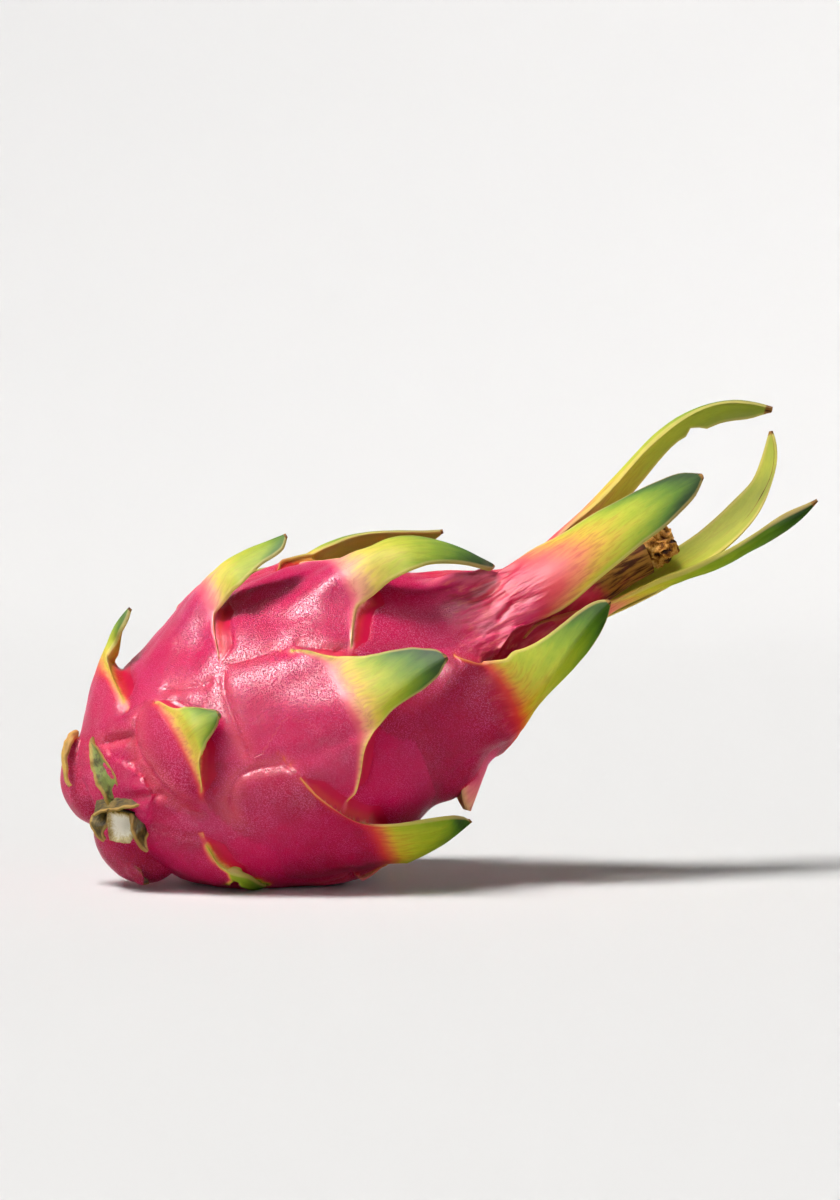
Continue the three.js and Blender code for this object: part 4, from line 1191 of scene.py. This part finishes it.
def stalk():
    """The cut stem, four-cornered, its end face a little dished."""
    start, end = spots(STUB["start"]), spots(STUB["end"])
    reach = np.linalg.norm(end - start)
    forward = unit(end - start)
    sideways = unit(np.cross(forward, OVER))
    upwards = np.cross(sideways, forward)
    corners = [upwards * math.sin(math.radians(a)) * out - sideways * math.cos(math.radians(a)) * out
               for a, out in STUB["corners"]]
    outline = np.array([mix(corner, following, t) * (1 + 0.3 * t * (1 - t))
                        for corner, following in zip(corners, corners[1:] + corners[:1])
                        for t in np.arange(STUB_SIDE) / STUB_SIDE])
    way, share = np.array(STUB["side"] + STUB["face"]).T[:, :, None]
    rings = start + (forward * reach * way)[:, None] + outline * share[:, None]
    dents, torn = waves(rings, 3.0, 21)[..., None], waves(rings, 2.0, 22)[..., None]
    rings += 0.22 * dents * forward + 0.15 * torn * upwards
    cut = np.array([0.0] * (len(STUB["side"]) - 1) + [0.5] + [1.0] * len(STUB["face"]))[:, None]
    angle = np.linspace(0, 2 * np.pi, len(outline), endpoint=False)
    # The cut face's upper edge under the roof flap is darkened: painted shadow
    roof_shadow = np.exp(-(wrapped(angle - 0.5) ** 2)) * smooth(share * 2 - 0.7)
    pale_middle = 1 - smooth((share - 0.5) / 0.5)
    marks = {"hue": cut * (0.14 + 0.42 * pale_middle - 0.5 * roof_shadow), "dry": 1 - cut, "gx": share * 3,
             "gy": np.cos(angle) * 4, "gz": np.sin(angle) * 4}
    return barrel(rings, start, start + forward * reach * 0.935, marks)


def stem_stub(material):
    sources = [stalk()]
    sources += [lobe(dict(shape, crumple=0.3, dry=0.5), 30, 12, seed=30 + 5 * k, curl=0.25)
                for k, shape in enumerate(WITHERED)]
    points, triangles = joined(sources)
    marks, _ = marks_from(sources, points)
    finished("stem_stub_dry", points, triangles, marks, "stem_stub", material, sharp=40)


def flower_remnant(material):
    first, last = FLOWER["outline"][0][0], FLOWER["outline"][-1][0]
    turns = np.linspace(0, 2 * np.pi, FLOWER_ROUND, endpoint=False)
    rings = []
    for along in np.linspace(first, last, FLOWER_ROWS):
        t = (along - first) / (last - first)
        folds = np.sin(3 * turns + 4 * t) + 0.6 * np.sin(5 * turns - 5 * t + 1)
        folds += 0.35 * np.sin(11 * turns + 9 * t)
        crumple = 1 + FLOWER["crumple"] * smooth(t * 1.6 - 0.3) * folds
        out = curve_through(FLOWER["outline"], along) * crumple
        rings.append(place(np.full_like(turns, along), out, turns))
    mouth = FLOWER["outline"][-1][1] * (1 + 0.2 * (np.sin(3 * turns + 4) + 0.6 * np.sin(5 * turns - 4)))
    for share in (0.85, 0.7, 0.5, 0.3, 0.12):
        along = last - FLOWER["dish"] * (1 - share**2)
        rings.append(place(np.full_like(turns, along), mouth * share, turns))
    rings = np.array(rings)
    sharpening = smooth(np.arange(len(rings)) / 20)[:, None, None]
    shift = np.stack([waves(rings, 2.6, 50 + k) + 0.5 * waves(rings, 1.3, 60 + k) for k in range(3)], -1)
    ridge = 1 - 1.7 * np.abs(waves(rings, 3.4, 71))
    ways = unit(rings - rings.mean(1, keepdims=True))
    rings = rings + shift * 0.42 * sharpening + ways * (0.45 * ridge)[..., None] * sharpening
    # The hue follows the crumple: lighter on its ridges and darker in its valleys, as painted highlight and
    # painted shade
    marks = {"hue": 0.2 * ridge, "gx": rings[..., 0], "gy": rings[..., 1], "gz": rings[..., 2]}
    core = barrel(rings, rings[0].mean(0), rings[-1].mean(0), marks)
    finished("flower_withered", core["points"], core["triangles"], core["marks"],
             "flower_remnant", material, sharp=60)


# ---- Stage, camera and lights, in metres ----

FLOOR = [(0.5, 0), (1.0, 0), (1.4, 0), (1.55, 0.004), (1.7, 0.03), (1.9, 0.1), (2.15, 0.24), (2.5, 0.5),
         (3.6, 1.4), (5.0, 2.6)]
VIEW = {"azimuth": math.radians(-8), "pitch": math.radians(1.8), "distance": 0.9}
PICTURE = {"width": 840, "height": 1200, "focal": 3461.5, "origin": (286.6, 884.0)}  # in pixels
AIM = (0.03, 0, 0.05)  # near the fruit's middle, where the lamps point


def studio():
    """A plain pale floor that rises gently far behind and round the fruit."""
    turns = np.linspace(0, 2 * np.pi, 96, endpoint=False)
    circle = np.stack([np.cos(turns), np.sin(turns), 0 * turns], -1)
    rings = np.array([circle * radius + (0, 0, height) for radius, height in FLOOR])
    index = np.arange(rings.size // 3).reshape(rings.shape[:2])
    middle = np.stack([np.full(len(turns), index.size), index[0], np.roll(index[0], -1)], -1)
    points = np.concatenate([rings.reshape(-1, 3), [[0, 0, 0]]]) / MM
    floor = blender_object("studio_floor", points, np.concatenate([ring_quads(index)[:, ::-1], middle]))
    floor.data.shade_smooth()
    floor.data.materials.append(Graph("floor").surface((0.63, 0.63, 0.635), 0.7, 0.0))


def camera():
    """The viewpoint: to the left of the front and a little above, with the frame's origin at its place."""
    azimuth, pitch, focal = VIEW["azimuth"], VIEW["pitch"], PICTURE["focal"]
    level = Vector((-math.sin(azimuth), math.cos(azimuth), 0))
    right = Vector((math.cos(azimuth), math.sin(azimuth), 0))
    forward = level * math.cos(pitch) - Vector((0, 0, math.sin(pitch)))
    up = Vector((0, 0, math.cos(pitch))) + level * math.sin(pitch)
    x, y = PICTURE["origin"]
    across, above = (x - PICTURE["width"] / 2) / focal, (PICTURE["height"] / 2 - y) / focal
    made = bpy.data.objects.new("camera", bpy.data.cameras.new("camera"))
    made.data.lens = focal * made.data.sensor_width / PICTURE["height"]
    made.data.clip_start, made.data.clip_end = 0.01, 50
    turned = Matrix((right, up, -forward)).transposed().to_4x4()
    turned.translation = -(forward + right * across + up * above) * VIEW["distance"]
    made.matrix_world = turned
    bpy.context.scene.collection.objects.link(made)
    bpy.context.scene.camera = made
    return right, up, -forward


def lamp(name, kind, way, strength, colour, distance=2.0, **more):
    """A light that shines at the fruit from that direction."""
    data = bpy.data.lights.new(name, kind)
    data.energy, data.color = strength, colour
    for key, value in more.items():
        setattr(data, key, value)
    light = bpy.data.objects.new(name, data)
    way = way.normalized()
    light.location = Vector(AIM) + way * distance
    light.rotation_mode = "QUATERNION"
    light.rotation_quaternion = way.to_track_quat("Z", "Y")
    bpy.context.scene.collection.objects.link(light)
    return light


def lights(right, up, towards):
    """A broad key and its sheen from the upper left, a weak fill and a dim sky."""
    def way(r, u, t):
        return right * r + up * u + towards * t

    lamp("key", "SUN", way(-0.38, 0.86, 0.33), 4.2, (1.0, 0.985, 0.96), angle=math.radians(20))
    shine = lamp("shine", "SUN", way(-0.46, 0.58, 0.67), 66.0, (1.0, 0.985, 0.97), angle=math.radians(44))
    shine.visible_diffuse = False
    fill = lamp("fill", "AREA", way(-0.6, 0.3, 0.8), 0.35, (0.97, 0.98, 1.0), distance=1.6, size=0.9)
    fill.visible_glossy = False
    world = bpy.data.worlds.new("studio")
    bpy.context.scene.world = world
    world.use_nodes = True
    background = world.node_tree.nodes["Background"]
    background.inputs["Color"].default_value = (0.94, 0.96, 1.0, 1)
    background.inputs["Strength"].default_value = 0.07


# ---- The scene ----

fruit_skin(skin_material())
stem_stub(dry_material("dry_stem", DRY_STEM))
flower_remnant(dry_material("withered_flower", WITHERED_FLOWER))
studio()
lights(*camera())
bpy.context.scene.view_settings.view_transform = "Standard"
